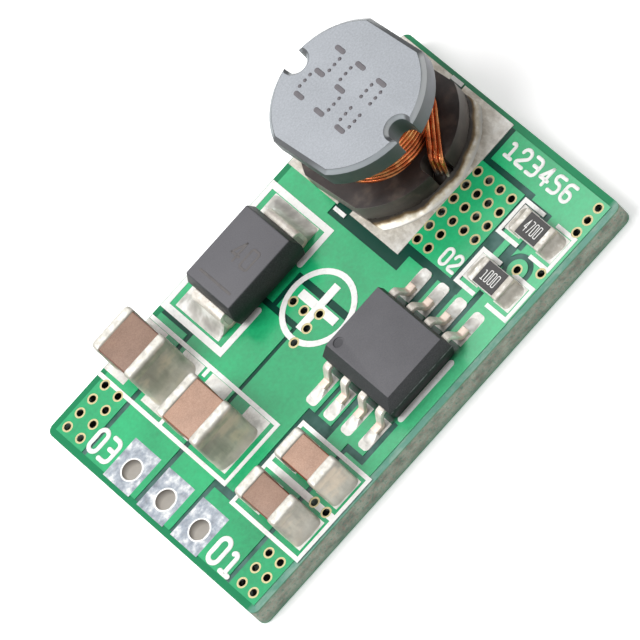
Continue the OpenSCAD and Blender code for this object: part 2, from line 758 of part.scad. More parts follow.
// The upper flange, bevelled along its round ends and along its flats.
module bevelled_cap() {
    level = cap_under;
    rim = inductor_height - cap_bevel;
    intersection() {
        rotate_extrude()
            polygon([[0, level], [cap_radius - cap_lower_bevel, level],
                     [cap_radius, level + cap_lower_bevel], [cap_radius, rim],
                     [cap_radius - cap_bevel, inductor_height], [0, inductor_height]]);
        translate([0, cap_radius, 0])
            rotate([90, 0, 0])
                linear_extrude(height = 2 * cap_radius)
                    polygon([[cap_lower_bevel - cap_flat, level], [cap_flat - cap_lower_bevel, level],
                             [cap_flat, level + cap_lower_bevel], [cap_flat, rim],
                             [cap_flat - cap_bevel, inductor_height],
                             [cap_bevel - cap_flat, inductor_height], [-cap_flat, rim],
                             [-cap_flat, level + cap_lower_bevel]]);
    }
}

module inductor_core()
    color("slategray")
        on_inductor()
            difference() {
                union() {
                    drum_plate(base_radius, base_flat, electrode_thickness, base_height);
                    translate([0, 0, base_top - overcut])
                        cylinder(r = post_radius, h = window + 2 * overcut);
                    bevelled_cap();
                }
                notches(-overcut, base_top + 2 * overcut);
                notches(cap_under - overcut, cap_height + 2 * overcut);
                for (side = [0, 180])
                    rotate([0, 0, side])
                        translate([0, -notch_reach, inductor_height - notch_bevel])
                            cylinder(r1 = notch_radius, r2 = notch_radius + notch_bevel + overcut,
                                     h = notch_bevel + overcut);
            }

module inductor_winding()
    color("sienna")
        on_inductor()
            rotate_extrude() {
                translate([post_radius, base_top])
                    square([winding_radius - wire_diameter / 2 - post_radius, window]);
                for (turn = [0 : turns - 1])
                    translate([winding_radius - wire_diameter / 2,
                               base_top + (turn + 1 / 2) * window / turns])
                        circle(d = window / turns);
            }

// One strand: along the winding, straight off it to the rim of the lower flange and down through the notch.
module strand(number) {
    part = lead_strands > 1 ? number / (lead_strands - 1) : 0;
    shift = (number - (lead_strands - 1) / 2) * (wire_diameter + strand_clearance);
    foot = [shift * sin(lead_direction), lead_inset - notch_reach - shift * cos(lead_direction)];
    near = winding_radius + wire_diameter / 2 + strand_clearance;
    touch = atan2(foot[0], -foot[1]) + acos(near / norm(foot));
    wrapped = [for (step = [lead_wrap_steps : -1 : 0])
        polar(near / cos(lead_wrap_step / 2), touch + (step + 1 / 2) * lead_wrap_step,
              base_top + between(lead_height, part) + step * lead_climb)];
    edge = [foot[0], foot[1], base_top + wire_diameter / 2];
    wire(concat(wrapped, [edge, [foot[0], foot[1], wire_diameter / 2]]), wire_diameter);
}

module inductor_lead(turned)
    color("peru")
        on_inductor()
            rotate([0, 0, turned])
                for (number = [0 : lead_strands - 1])
                    strand(number);

module inductor_lead_front() inductor_lead(0);
module inductor_lead_back() inductor_lead(180);

module inductor_electrode(turned)
    color("lightgray")
        on_inductor()
            rotate([0, 0, turned])
                difference() {
                    drum_plate(base_radius, base_flat, 0, electrode_thickness);
                    slab([-base_radius, base_radius, -electrode_gap / 2, base_radius],
                         -overcut, electrode_thickness + 2 * overcut);
                    notches(-overcut, electrode_thickness + 2 * overcut);
                }

module inductor_electrode_front() inductor_electrode(0);
module inductor_electrode_back() inductor_electrode(180);

// A moulded body: drafted below and above an upright band as high as the leads are thick.
module moulded(place, under, wide, top, top_shift, lift, band, thickness, height) {
    thin = overcut / 2;
    hull() {
        block(place, under, lift, thin);
        block(place, wide, band - thickness / 2 - thin, thin);
    }
    block(place, wide, band - thickness / 2 - thin, thickness + 2 * thin);
    hull() {
        block(place, wide, band + thickness / 2, thin);
        block(place + [top_shift, 0], top, height - thin, thin);
    }
}

module diode_body()
    color("dimgray")
        translate([0, 0, seat])
            moulded(diode_place, diode_under_size, diode_body_size, diode_top_size, 0,
                    diode_lift, diode_lead_level, diode_lead_thickness, diode_height);

// A bent strip: out of the body's side, down and back under the body.
module diode_lead(side)
    color("lightgray") {
        body_side = diode_body_size[0] / 2;
        half = diode_lead_thickness / 2;
        out = diode_lead_span - half - diode_bend - body_side;
        drop = diode_lead_level - half - 2 * diode_bend;
        translate([diode_place[0], diode_place[1], seat + diode_lead_level])
            rotate([0, 0, side < 0 ? 180 : 0])
                translate([body_side, diode_lead_width / 2, 0])
                    rotate([90, 0, 0])
                        strip([[out, -90], [drop, -90], [diode_foot, 0]],
                              diode_lead_thickness, diode_lead_width, diode_bend);
    }

module diode_cathode_lead() diode_lead(-1);
module diode_anode_lead() diode_lead(1);

module controller_body() {
    wide = controller_body_size;
    top = [wide[0] - controller_top_inset[0] - controller_top_inset[1], wide[1] - 2 * controller_end_inset];
    shift = (controller_top_inset[0] - controller_top_inset[1]) / 2;
    under = wide - [2 * controller_under_inset, 2 * controller_under_inset];
    color("dimgray")
        translate([0, 0, seat])
            difference() {
                moulded(controller_place, under, wide, top, shift, controller_lift,
                        controller_lead_level, controller_lead_thickness, controller_height);
                translate([controller_place[0] + shift - top[0] / 2 + controller_dimple_inset,
                           controller_place[1] + top[1] / 2 - controller_dimple_inset,
                           controller_height - controller_dimple_depth])
                    cylinder(d = controller_dimple, h = 2 * controller_dimple_depth);
            }
}

// A gull-wing lead: shoulder, slope and foot, on one side of the body.
module controller_lead(number)
    color("gainsboro")
        translate([controller_place[0], lead_y(number), seat + controller_lead_level])
            rotate([0, 0, side_of(number) < 0 ? 180 : 0])
                translate([controller_body_size[0] / 2, controller_lead_width / 2, 0])
                    rotate([90, 0, 0])
                        strip([[controller_shoulder, -controller_slope], [controller_leg, controller_slope],
                               [controller_foot, 0]],
                              controller_lead_thickness, controller_lead_width, controller_bend);

module controller_lead_1() controller_lead(1);
module controller_lead_2() controller_lead(2);
module controller_lead_3() controller_lead(3);
module controller_lead_4() controller_lead(4);
module controller_lead_5() controller_lead(5);
module controller_lead_6() controller_lead(6);
module controller_lead_7() controller_lead(7);
module controller_lead_8() controller_lead(8);

module chip_core(place, size, wall)
    block(place, [size[0] - 2 * wall, size[1] - 2 * wall], seat + wall, size[2] - 2 * wall);

module rounded_block(place, size, rounding)
    translate([place[0], place[1], seat + size[2] / 2])
        hull()
            for (x = [-1, 1], y = [-1, 1], z = [-1, 1])
                translate([x * (size[0] / 2 - rounding), y * (size[1] / 2 - rounding),
                           z * (size[2] / 2 - rounding)])
                    sphere(r = rounding, $fn = corner_fn);

module chip_cap(place, size, wall, length, side, rounding)
    difference() {
        intersection() {
            rounded_block(place, size, rounding);
            block([place[0], place[1] + side * size[1] / 2], [2 * size[0], 2 * length],
                  seat - size[2] / 2, 2 * size[2]);
        }
        chip_core(place, size, wall);
    }

module large_body(place)
    color("rosybrown") chip_core(place, large_capacitor_size, capacitor_wall);

module large_cap(place, side)
    color("linen")
        chip_cap(place, large_capacitor_size, capacitor_wall, large_capacitor_cap, side, capacitor_round);

module small_body(place)
    color("rosybrown") chip_core(place, small_capacitor_size, capacitor_wall);

module small_cap(place, side)
    color("linen")
        chip_cap(place, small_capacitor_size, capacitor_wall, small_capacitor_cap, side, capacitor_round);

module output_capacitor_1_body() large_body(output_capacitor_1_place);
module output_capacitor_1_back_cap() large_cap(output_capacitor_1_place, 1);
module output_capacitor_1_front_cap() large_cap(output_capacitor_1_place, -1);
module output_capacitor_2_body() large_body(output_capacitor_2_place);
module output_capacitor_2_back_cap() large_cap(output_capacitor_2_place, 1);
module output_capacitor_2_front_cap() large_cap(output_capacitor_2_place, -1);
module input_capacitor_1_body() small_body(input_capacitor_1_place);
module input_capacitor_1_back_cap() small_cap(input_capacitor_1_place, 1);
module input_capacitor_1_front_cap() small_cap(input_capacitor_1_place, -1);
module input_capacitor_2_body() small_body(input_capacitor_2_place);
module input_capacitor_2_back_cap() small_cap(input_capacitor_2_place, 1);
module input_capacitor_2_front_cap() small_cap(input_capacitor_2_place, -1);

module resistor_substrate(place)
    color("white") chip_core(place, resistor_size, resistor_wall);

// The overcoat lies on the substrate between the end caps.
module resistor_overcoat(place)
    color("darkslategray")
        block(place, [resistor_size[0] - 2 * resistor_wall - 2 * overcoat_inset,
                      resistor_size[1] - 2 * resistor_cap],
              seat + resistor_size[2] - resistor_wall, overcoat_thickness);

module resistor_end(place, side)
    color("lightgray") chip_cap(place, resistor_size, resistor_wall, resistor_cap, side, resistor_round);

module left_resistor_substrate() resistor_substrate(left_resistor_place);
module left_resistor_overcoat() resistor_overcoat(left_resistor_place);
module left_resistor_back_cap() resistor_end(left_resistor_place, 1);
module left_resistor_front_cap() resistor_end(left_resistor_place, -1);
module right_resistor_substrate() resistor_substrate(right_resistor_place);
module right_resistor_overcoat() resistor_overcoat(right_resistor_place);
module right_resistor_back_cap() resistor_end(right_resistor_place, 1);
module right_resistor_front_cap() resistor_end(right_resistor_place, -1);

// The section of a fillet that climbs from its lip at the reach to its rise at an upright face,
// hollowed towards its corner.
function fillet_point(reach, rise, part) =
    let (pull = (1 - solder_hollow) / 2, turn = 2 * part * (1 - part))
    [reach * ((1 - part) * (1 - part) + turn * pull),
     solder_lip + (rise - solder_lip) * (part * part + turn * pull)];

module fillet_section(reach, rise)
    polygon(concat([[0, 0], [reach, 0]],
                   [for (step = [0 : solder_steps]) fillet_point(reach, rise, step / solder_steps)]));

// A fillet at the place, reaching out along the turned X axis.
module fillet(place, turned, width, reach, rise)
    translate([place[0], place[1], seat])
        rotate([0, 0, turned])
            translate([0, width / 2, 0])
                rotate([90, 0, 0])
                    linear_extrude(height = width)
                        fillet_section(reach, rise);

module inductor_solder()
    color("lightsteelblue")
        intersection() {
            on_inductor()
                intersection() {
                    rotate_extrude()
                        translate([base_radius, 0])
                            fillet_section(inductor_solder_reach, inductor_solder_rise);
                    slab([-base_flat, base_flat, -2 * base_radius, 2 * base_radius],
                         -overcut, inductor_height);
                }
            union() {
                slab(inductor_land_front, seat, 2 * inductor_solder_rise);
                slab(inductor_land_back, seat, 2 * inductor_solder_rise);
            }
        }

module diode_solder()
    color("lightsteelblue")
        for (side = [-1, 1])
            fillet([diode_place[0] + side * diode_lead_span, between(diode_land_edges, 1 / 2)],
                   side < 0 ? 180 : 0, diode_land_edges[1] - diode_land_edges[0],
                   diode_land_reach[1] - diode_lead_span, diode_solder_rise);

// The toe fillets end where the round corners of the lands begin.
module controller_solder()
    color("lightsteelblue")
        for (number = [1 : 2 * controller_rows])
            fillet([controller_place[0] + side_of(number) * controller_toe, lead_y(number)],
                   side_of(number) < 0 ? 180 : 0, controller_land_width,
                   controller_land_reach[1] - controller_land_round - controller_toe, toe_rise);

// Length of the land that shows beyond the end of a chip.
function land_beyond(place, half, middle, reach, side) =
    max(solder_lip, side * (middle - place) + reach - half);

// Fillets at both ends of a chip, as far as its lands reach.
module chip_solder(place, size, middle, reach, rise)
    for (side = [-1, 1])
        fillet([place[0], place[1] + side * size[1] / 2], side * 90, size[0],
               land_beyond(place[1], size[1] / 2, middle, reach, side), rise);

module capacitor_solder()
    color("lightsteelblue") {
        chip_solder(output_capacitor_1_place, large_capacitor_size, large_land_back, large_land_reach[1],
                    large_solder_rise);
        chip_solder(output_capacitor_2_place, large_capacitor_size, large_land_front, large_land_reach[1],
                    large_solder_rise);
        chip_solder(input_capacitor_1_place, small_capacitor_size, small_land_middle, small_land_reach[1],
                    small_solder_rise);
        chip_solder(input_capacitor_2_place, small_capacitor_size, small_land_middle, small_land_reach[1],
                    small_solder_rise);
    }

module resistor_solder()
    color("lightsteelblue") {
        chip_solder(left_resistor_place, resistor_size, left_resistor_place[1], resistor_land_reach[1],
                    resistor_solder_rise);
        chip_solder(right_resistor_place, resistor_size, right_resistor_place[1], resistor_land_reach[1],
                    resistor_solder_rise);
    }

circuit_board();
copper_pour_top();
copper_pour_bottom();
silkscreen_legend();
via_barrels();
output_terminal();
ground_terminal();
input_terminal();
solder_lands();
inductor_core();
inductor_winding();
inductor_lead_front();
inductor_lead_back();
inductor_electrode_front();
inductor_electrode_back();
diode_body();
diode_cathode_lead();
diode_anode_lead();
controller_body();
controller_lead_1();
controller_lead_2();
controller_lead_3();
controller_lead_4();
controller_lead_5();
controller_lead_6();
controller_lead_7();
controller_lead_8();
output_capacitor_1_body();
output_capacitor_1_back_cap();
output_capacitor_1_front_cap();
output_capacitor_2_body();
output_capacitor_2_back_cap();
output_capacitor_2_front_cap();
input_capacitor_1_body();
input_capacitor_1_back_cap();
input_capacitor_1_front_cap();
input_capacitor_2_body();
input_capacitor_2_back_cap();
input_capacitor_2_front_cap();
left_resistor_substrate();
left_resistor_overcoat();
left_resistor_back_cap();
left_resistor_front_cap();
right_resistor_substrate();
right_resistor_overcoat();
right_resistor_back_cap();
right_resistor_front_cap();
inductor_solder();
diode_solder();
controller_solder();
capacitor_solder();
resistor_solder();
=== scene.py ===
"""Looks of a boost converter module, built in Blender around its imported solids."""

import math

import bmesh
import bpy
from bpy.props import FloatProperty, FloatVectorProperty, IntProperty, PointerProperty
from mathutils import Euler, Matrix, Vector, noise


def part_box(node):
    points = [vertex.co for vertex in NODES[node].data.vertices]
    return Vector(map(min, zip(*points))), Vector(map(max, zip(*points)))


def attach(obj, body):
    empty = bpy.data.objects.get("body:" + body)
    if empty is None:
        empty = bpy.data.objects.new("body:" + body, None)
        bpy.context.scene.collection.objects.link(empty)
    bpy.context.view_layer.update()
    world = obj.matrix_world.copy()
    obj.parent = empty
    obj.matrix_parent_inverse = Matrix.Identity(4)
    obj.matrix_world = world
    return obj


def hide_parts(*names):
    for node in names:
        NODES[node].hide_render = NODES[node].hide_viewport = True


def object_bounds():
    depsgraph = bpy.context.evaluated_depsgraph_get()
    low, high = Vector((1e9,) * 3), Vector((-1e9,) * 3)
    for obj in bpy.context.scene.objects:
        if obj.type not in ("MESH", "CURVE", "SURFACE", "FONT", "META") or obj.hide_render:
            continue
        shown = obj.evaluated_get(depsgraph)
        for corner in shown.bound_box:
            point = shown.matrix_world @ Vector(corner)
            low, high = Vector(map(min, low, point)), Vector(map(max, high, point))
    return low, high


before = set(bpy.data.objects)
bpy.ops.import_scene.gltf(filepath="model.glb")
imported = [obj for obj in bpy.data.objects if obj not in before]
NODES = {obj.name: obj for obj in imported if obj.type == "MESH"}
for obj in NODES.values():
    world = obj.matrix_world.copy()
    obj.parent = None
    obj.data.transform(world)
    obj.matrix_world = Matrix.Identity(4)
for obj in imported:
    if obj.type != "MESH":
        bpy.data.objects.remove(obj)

bl_info = {
    "name": "Boost Converter Module Looks",
    "version": (1, 0, 0),
    "blender": (4, 5, 0),
    "location": "View3D > Sidebar > Module",
    "description": "Dresses the packed solids of a small step-up converter board",
    "category": "Object",
}

CAD_BOX = [list(corner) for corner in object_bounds()]
MM = 0.001
MERGE = 2e-6
FLAT = math.radians(1)
ROUND_BELOW = math.radians(38)
BEVEL_ABOVE = math.radians(30)
BOARD_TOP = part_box("copper_pour_top")[1].z
BOARD_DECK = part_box("circuit_board")[1].z
BOARD_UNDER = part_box("circuit_board")[0].z
BOARD_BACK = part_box("circuit_board")[1].y
LEGEND_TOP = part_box("silkscreen_legend")[1].z
INDUCTOR_MIDDLE = Vector((7.75, 4.05, 1.2)) * MM
INDUCTOR_TURN = math.radians(4.9)
FLANGE_TOP = 1.35 * MM
FLANGE_RADIUS = 3.93 * MM
NOTCH_REACH = 3.46 * MM
STRANDS = 3
STRAND_GAP = 0.015 * MM
TERMINAL_HOLES = [Vector((-10.72, 0.12 + step * 2.54, 1.2)) * MM for step in (1, 0, -1)]
DIMPLE = Vector((-0.64, -2.34, 1.2)) * MM
DIODE_LEADS = ("diode_cathode_lead", "diode_anode_lead")
CERAMIC_TONES = {"output_capacitor_1": 0.74, "output_capacitor_2": 1.22, "input_capacitor_1": 0.9,
                 "input_capacitor_2": 1.24}

# All print is read from the right-hand end of the board: up is +X, and lines run along -Y.
PRINT_UP, PRINT_ALONG = Vector((1, 0, 0)), Vector((0, -1, 0))
# A number: text, lower left corner, width and height of a digit, and gap; on the board also its weight.
BOARD_NUMBERS = {
    "output_number": ("03", (-11.3, 5.45, 0), (0.55, 1.16), 0.34, 0.92),
    "input_number": ("01", (-11.45, -3.72, 0), (0.62, 1.28), 0.36, 1.0),
    "divider_number": ("02", (4.98, -2.3, 0), (0.4, 0.82), 0.26, 0.66),
    "column_number": ("123456", (10.45, -1.05, 0), (0.48, 0.86), 0.3, 0.72),
}
DIODE_NUMBER = ("40", (-0.9, 5.35, 0), (0.5, 1.0), 0.34)
DIODE_BAR = [(-2.1, 6.0, 0), (-2.1, 3.8, 0)]
RESISTOR_NUMBERS = {"left": "1000", "right": "4700"}
RESISTOR_NUMBER_START = Vector((-0.3, 0.46, 0))
RESISTOR_DIGIT = (0.15, 0.6)
RESISTOR_DIGIT_GAP = 0.1
CORE_NUMBER = "250"
CORE_DIGIT_STARTS = (6.4, 4.92, 3.4)
# Strokes of the print. Half of a stroke's thickness lies below the face that carries it.
BOARD_PRINT = {"Thickness": (LEGEND_TOP - BOARD_TOP) * 1.9, "Level": BOARD_TOP}
BOARD_CORNER = 0.3 * MM
DIODE_PRINT = {"Stroke": 0.13 * MM, "Thickness": 0.008 * MM, "Corner": 0.12 * MM}
RESISTOR_PRINT = {"Stroke": 0.045 * MM, "Thickness": 0.012 * MM, "Corner": 0.05 * MM}
# How a surface has flowed: size of its cells, height of its lumps, passes of smoothing, and size of a lump.
CAPACITOR_CAP_FLOW = (0.05 * MM, 0.02 * MM, 11, 0.6 * MM)
RESISTOR_CAP_FLOW = (0.03 * MM, 0.012 * MM, 3, 0.2 * MM)
FLUX_PASSES = 6
FLUX_LUMP = 0.7 * MM
# Runs of points of each digit, one wide and two high.
DIGITS = {
    "0": (((0, 1.1), (0, 2), (1, 2), (1, 0), (0, 0), (0, 0.9), (0, 1.1)),),
    "1": (((0.1, 1.5), (0.55, 2), (0.55, 0)), ((0.1, 0), (1, 0))),
    "2": (((0, 1.45), (0, 2), (1, 2), (1, 1.15), (0, 0.3), (0, 0), (1, 0)),),
    "3": (((0, 2), (1, 2), (1, 0), (0, 0)), ((0.3, 1.05), (1, 1.05))),
    "4": (((0.75, 0), (0.75, 2)), ((0.75, 2), (0, 0.6)), ((0, 0.6), (1.05, 0.6))),
    "5": (((1, 2), (0, 2), (0, 1.15), (1, 1.15), (1, 0), (0, 0)),),
    "6": (((1, 2), (0, 2), (0, 0), (1, 0), (1, 1.1), (0, 1.1)),),
    "7": (((0, 2), (1, 2), (0.4, 0)),),
}
# Bars (a top, g middle, d bottom) and rows of dots (b, c right, e, f left) of each digit on the core.
SEGMENTS = {"0": "abcdef", "2": "abged", "5": "afgcd"}
# Each lamp of the stage: setting of its power, width and place in metres.
LAMPS = (
    ("key", 0.12, (-0.07, 0.03, 0.12)),
    ("glare", 0.08, (0.03, 0.12, 0.14)),
    ("fill", 0.08, (0.02, -0.14, 0.06)),
)


def tint(red, green, blue):
    """A display colour in linear light."""
    shares = (value / 255 for value in (red, green, blue))
    return tuple(share / 12.92 if share < 0.04045 else ((share + 0.055) / 1.055) ** 2.4 for share in shares)


def scaled(shade, factor):
    """A colour made lighter or darker."""
    return tuple(min(1.0, value * factor) for value in shade[:3])


def colour(name, description, red, green, blue):
    """A colour setting."""
    return FloatVectorProperty(name=name, description=description, subtype="COLOR", size=3, min=0, max=1,
                               default=tint(red, green, blue))


def length(name, description, millimetres):
    """A length setting."""
    return FloatProperty(name=name, description=description, unit="LENGTH", subtype="DISTANCE", min=0,
                         default=millimetres * MM, precision=5)


def amount(name, description, default, **limits):
    """A plain setting."""
    return FloatProperty(name=name, description=description, default=default, min=0, **limits)


class Shade:
    """Colours of stains and wear, and of painted light and shade on sides, edges and hollows, which need no
    setting.
    """

    RED_GLASS = tint(148, 122, 112)
    GREEN_GLASS = tint(84, 122, 108)
    GREEN_FOOT = tint(92, 138, 118)
    EDGE_STREAK = tint(150, 172, 158)
    BORE_SHADE = tint(14, 16, 12)
    BORE_WALL_SHADE = tint(52, 56, 48)
    BORE_GLINT = tint(168, 182, 176)
    TIN_FROST_AND_HIGHLIGHT = tint(244, 244, 241)
    TIN_BRIGHT = tint(252, 252, 251)
    TIN_STAIN = tint(222, 208, 182)
    TIN_STREAK = tint(140, 126, 104)
    TIN_COLLAR = tint(252, 252, 250)
    BARREL_LOW = tint(226, 222, 216)
    BARREL_HIGH = tint(128, 122, 116)
    CORE_LEFT = tint(58, 72, 69)
    CORE_RIGHT = tint(142, 143, 149)
    CORE_DUST = tint(92, 86, 80)
    CORE_EDGE_SHADE = tint(78, 82, 84)
    BEVEL_LEFT = tint(150, 156, 160)
    BEVEL_RIGHT = tint(206, 208, 208)
    BEVEL_FLAT = tint(84, 86, 88)
    VARNISH_PALE = tint(78, 68, 62)
    VARNISH_AMBER = tint(100, 84, 70)
    VARNISH_REFLECTION = tint(134, 127, 122)
    COPPER_HIGHLIGHT = tint(252, 176, 110)
    COPPER_BURNT = tint(128, 92, 62)
    COPPER_TINNED = tint(206, 204, 200)
    EPOXY_UNDER = tint(10, 12, 13)
    EPOXY_SIDE = tint(46, 48, 50)
    EPOXY_LOW = tint(4, 6, 6)
    EPOXY_SEAM = tint(128, 130, 130)
    EPOXY_DARK = tint(12, 12, 14)
    EPOXY_DUST = tint(150, 150, 154)
    EPOXY_DIMPLE = tint(52, 52, 56)
    LASER_MARK = tint(99, 95, 94)
    LEAD_PALE = tint(250, 246, 238)
    LEAD_FEET = tint(242, 214, 196)
    CERAMIC_DARK = tint(138, 96, 74)
    CERAMIC_PALE = tint(212, 178, 156)
    CERAMIC_SIDE_SHADE = tint(186, 112, 72)
    CAP_PALE = tint(250, 248, 243)
    CAP_TAN = tint(234, 214, 190)
    CAP_GREY = tint(146, 148, 136)
    SOLDER_HIGHLIGHT = tint(250, 249, 245)
    SOLDER_STEEP_SHADE = tint(194, 188, 176)
    FLUX_PALE = tint(250, 247, 240)
    FLUX_AMBER = tint(142, 116, 76)
    FLUX_DARK_AND_SHADOW = tint(58, 52, 47)


class BoardLooks(bpy.types.PropertyGroup):
    """Finishes of the bare board."""

    mask: colour("Mask", "Green mask over copper", 20, 163, 103)
    # Painted glare on the mask towards the front right.
    sheen: colour("Mask sheen", "Paler mask towards the front right", 118, 208, 160)
    trench: colour("Trench", "Green mask over bare laminate", 14, 68, 55)
    trench_sheen: colour("Trench sheen", "Greyer mask over laminate towards the front", 84, 118, 112)
    rim: colour("Rim", "Mask along the edges", 26, 132, 86)
    rim_sheen: colour("Rim sheen", "Paler mask along the front edge", 104, 154, 138)
    edge: colour("Edge", "Cut edge of the laminate", 140, 148, 134)
    ink: colour("Legend", "White legend ink", 244, 243, 240)
    ring: colour("Via ring", "Bare ring round a via", 214, 200, 150)
    land: colour("Lands", "Tinned lands under the parts", 224, 221, 214)
    terminal: colour("Terminals", "Tinned pads round the terminal holes", 153, 162, 174)
    stroke: length("Stroke", "Width of a legend number's stroke", 0.26)
    clear: length("Clear edge", "Bare strip between the legend and the back edge", 0.07)


class InductorLooks(bpy.types.PropertyGroup):
    """Shape and finishes of the inductor."""

    ferrite: colour("Ferrite", "Ground face of the core", 168, 172, 178)
    resin: colour("Resin", "Dark varnish on the lower flange", 54, 46, 44)
    copper: colour("Copper", "Enamelled wire", 218, 112, 56)
    marking: colour("Marking", "Ink of the marking", 112, 108, 112)
    wire: length("Wire", "Diameter of one strand", 0.24)
    strands: IntProperty(name="Strands", description="Strands wound side by side", default=4, min=1, max=8)
    rim: length("Rim", "Rounding of the core's edges", 0.08)
    bar: length("Bar", "Width of a marking bar", 0.25)
    dot: length("Dot", "Diameter of a marking dot", 0.18)


class ChipLooks(bpy.types.PropertyGroup):
    """Shape and finishes of the other parts."""

    # Only the tops of the moulded bodies take this colour; its paleness is partly painted light.
    moulding: colour("Moulding", "Moulded bodies", 92, 91, 95)
    lead: colour("Leads", "Tinned leads", 226, 219, 208)
    ceramic: colour("Ceramic", "Capacitor bodies", 158, 124, 105)
    cap: colour("End caps", "Tinned end caps", 222, 218, 208)
    # The steep faces of the end caps take this colour: partly tarnish, partly painted shade.
    tarnish_and_shade: colour("Tarnish", "Dull streaks on the end caps", 192, 187, 174)
    resistor_cap: colour("Resistor caps", "End caps of the resistors", 204, 198, 187)
    overcoat: colour("Overcoat", "Dark glaze of the resistors", 52, 50, 50)
    alumina: colour("Alumina", "White substrate of the resistors", 232, 230, 224)
    body_edge: length("Body edge", "Rounding of the controller's edges", 0.05)
    diode_edge: length("Diode edge", "Rounding of the diode's edges", 0.07)
    lead_edge: length("Lead edge", "Rounding of a lead's edges", 0.035)
    ceramic_edge: length("Ceramic edge", "Rounding of a capacitor body's edges", 0.08)
    lap: length("Lap", "Length by which a cap's tin runs on over the ceramic", 0.1)


class SolderLooks(bpy.types.PropertyGroup):
    """Shape and finishes of the solder."""

    solder: colour("Solder", "Bright solder", 208, 205, 198)
    # Where the ring is cream, this colour is partly a painted highlight.
    flux: colour("Flux", "Dried flux", 226, 216, 194)
    grain: length("Grain", "Cell size of the flowed surface", 0.04)
    lumps: length("Lumps", "Height of the unevenness", 0.05)
    film: length("Film", "Thickness of the solder at the top of a fillet", 0.02)
    sink: length("Sink", "Depth by which a fillet's rim runs into the part", 0.06)


class StageLooks(bpy.types.PropertyGroup):
    """Floor, light and camera."""

    floor: colour("Floor", "Pale floor", 250, 250, 250)
    glow: amount("Floor glow", "Light of the floor itself", 0.35, max=2)
    sky: amount("Surround", "Light from all round", 0.36, max=5)
    key: amount("Key", "Large soft light overhead", 0.2, unit="POWER")
    glare: amount("Glare", "Soft light behind the board", 0.05, unit="POWER")
    fill: amount("Fill", "Soft light in front", 0.015, unit="POWER")
    camera_place: FloatVectorProperty(
        name="Camera", description="Place of the camera", subtype="TRANSLATION", size=3,
        default=(-0.013569256, -0.2456773148, 0.30663384721))
    camera_turn: FloatVectorProperty(
        name="Camera turn", description="Turn of the camera", subtype="EULER", size=3,
        default=tuple(map(math.radians, (29.40649474, 26.70131844, -41.6455162))))
    lens: amount("Lens", "Focal length in millimetres", 502.930587, max=5000)


class Graph:
    """A node tree that is built step by step."""

    def __init__(self, tree):
        self.tree = tree

    def add(self, kind, values=None, **settings):
        """Add a node. Values go to its inputs: numbers, colours, or outputs of other nodes."""
        node = self.tree.nodes.new(kind)
        for key, value in settings.items():
            setattr(node, key, value)
        for key, value in (values or {}).items():
            if isinstance(value, bpy.types.NodeSocket):
                self.tree.links.new(value, node.inputs[key])
            else:
                node.inputs[key].default_value = value
        return node

    def maths(self, operation, first, second=0.0):
        """One step of arithmetic."""
        return self.add("ShaderNodeMath", {0: first, 1: second}, operation=operation).outputs[0]

    def times(self, first, second):
        """A product."""
        return self.maths("MULTIPLY", first, second)


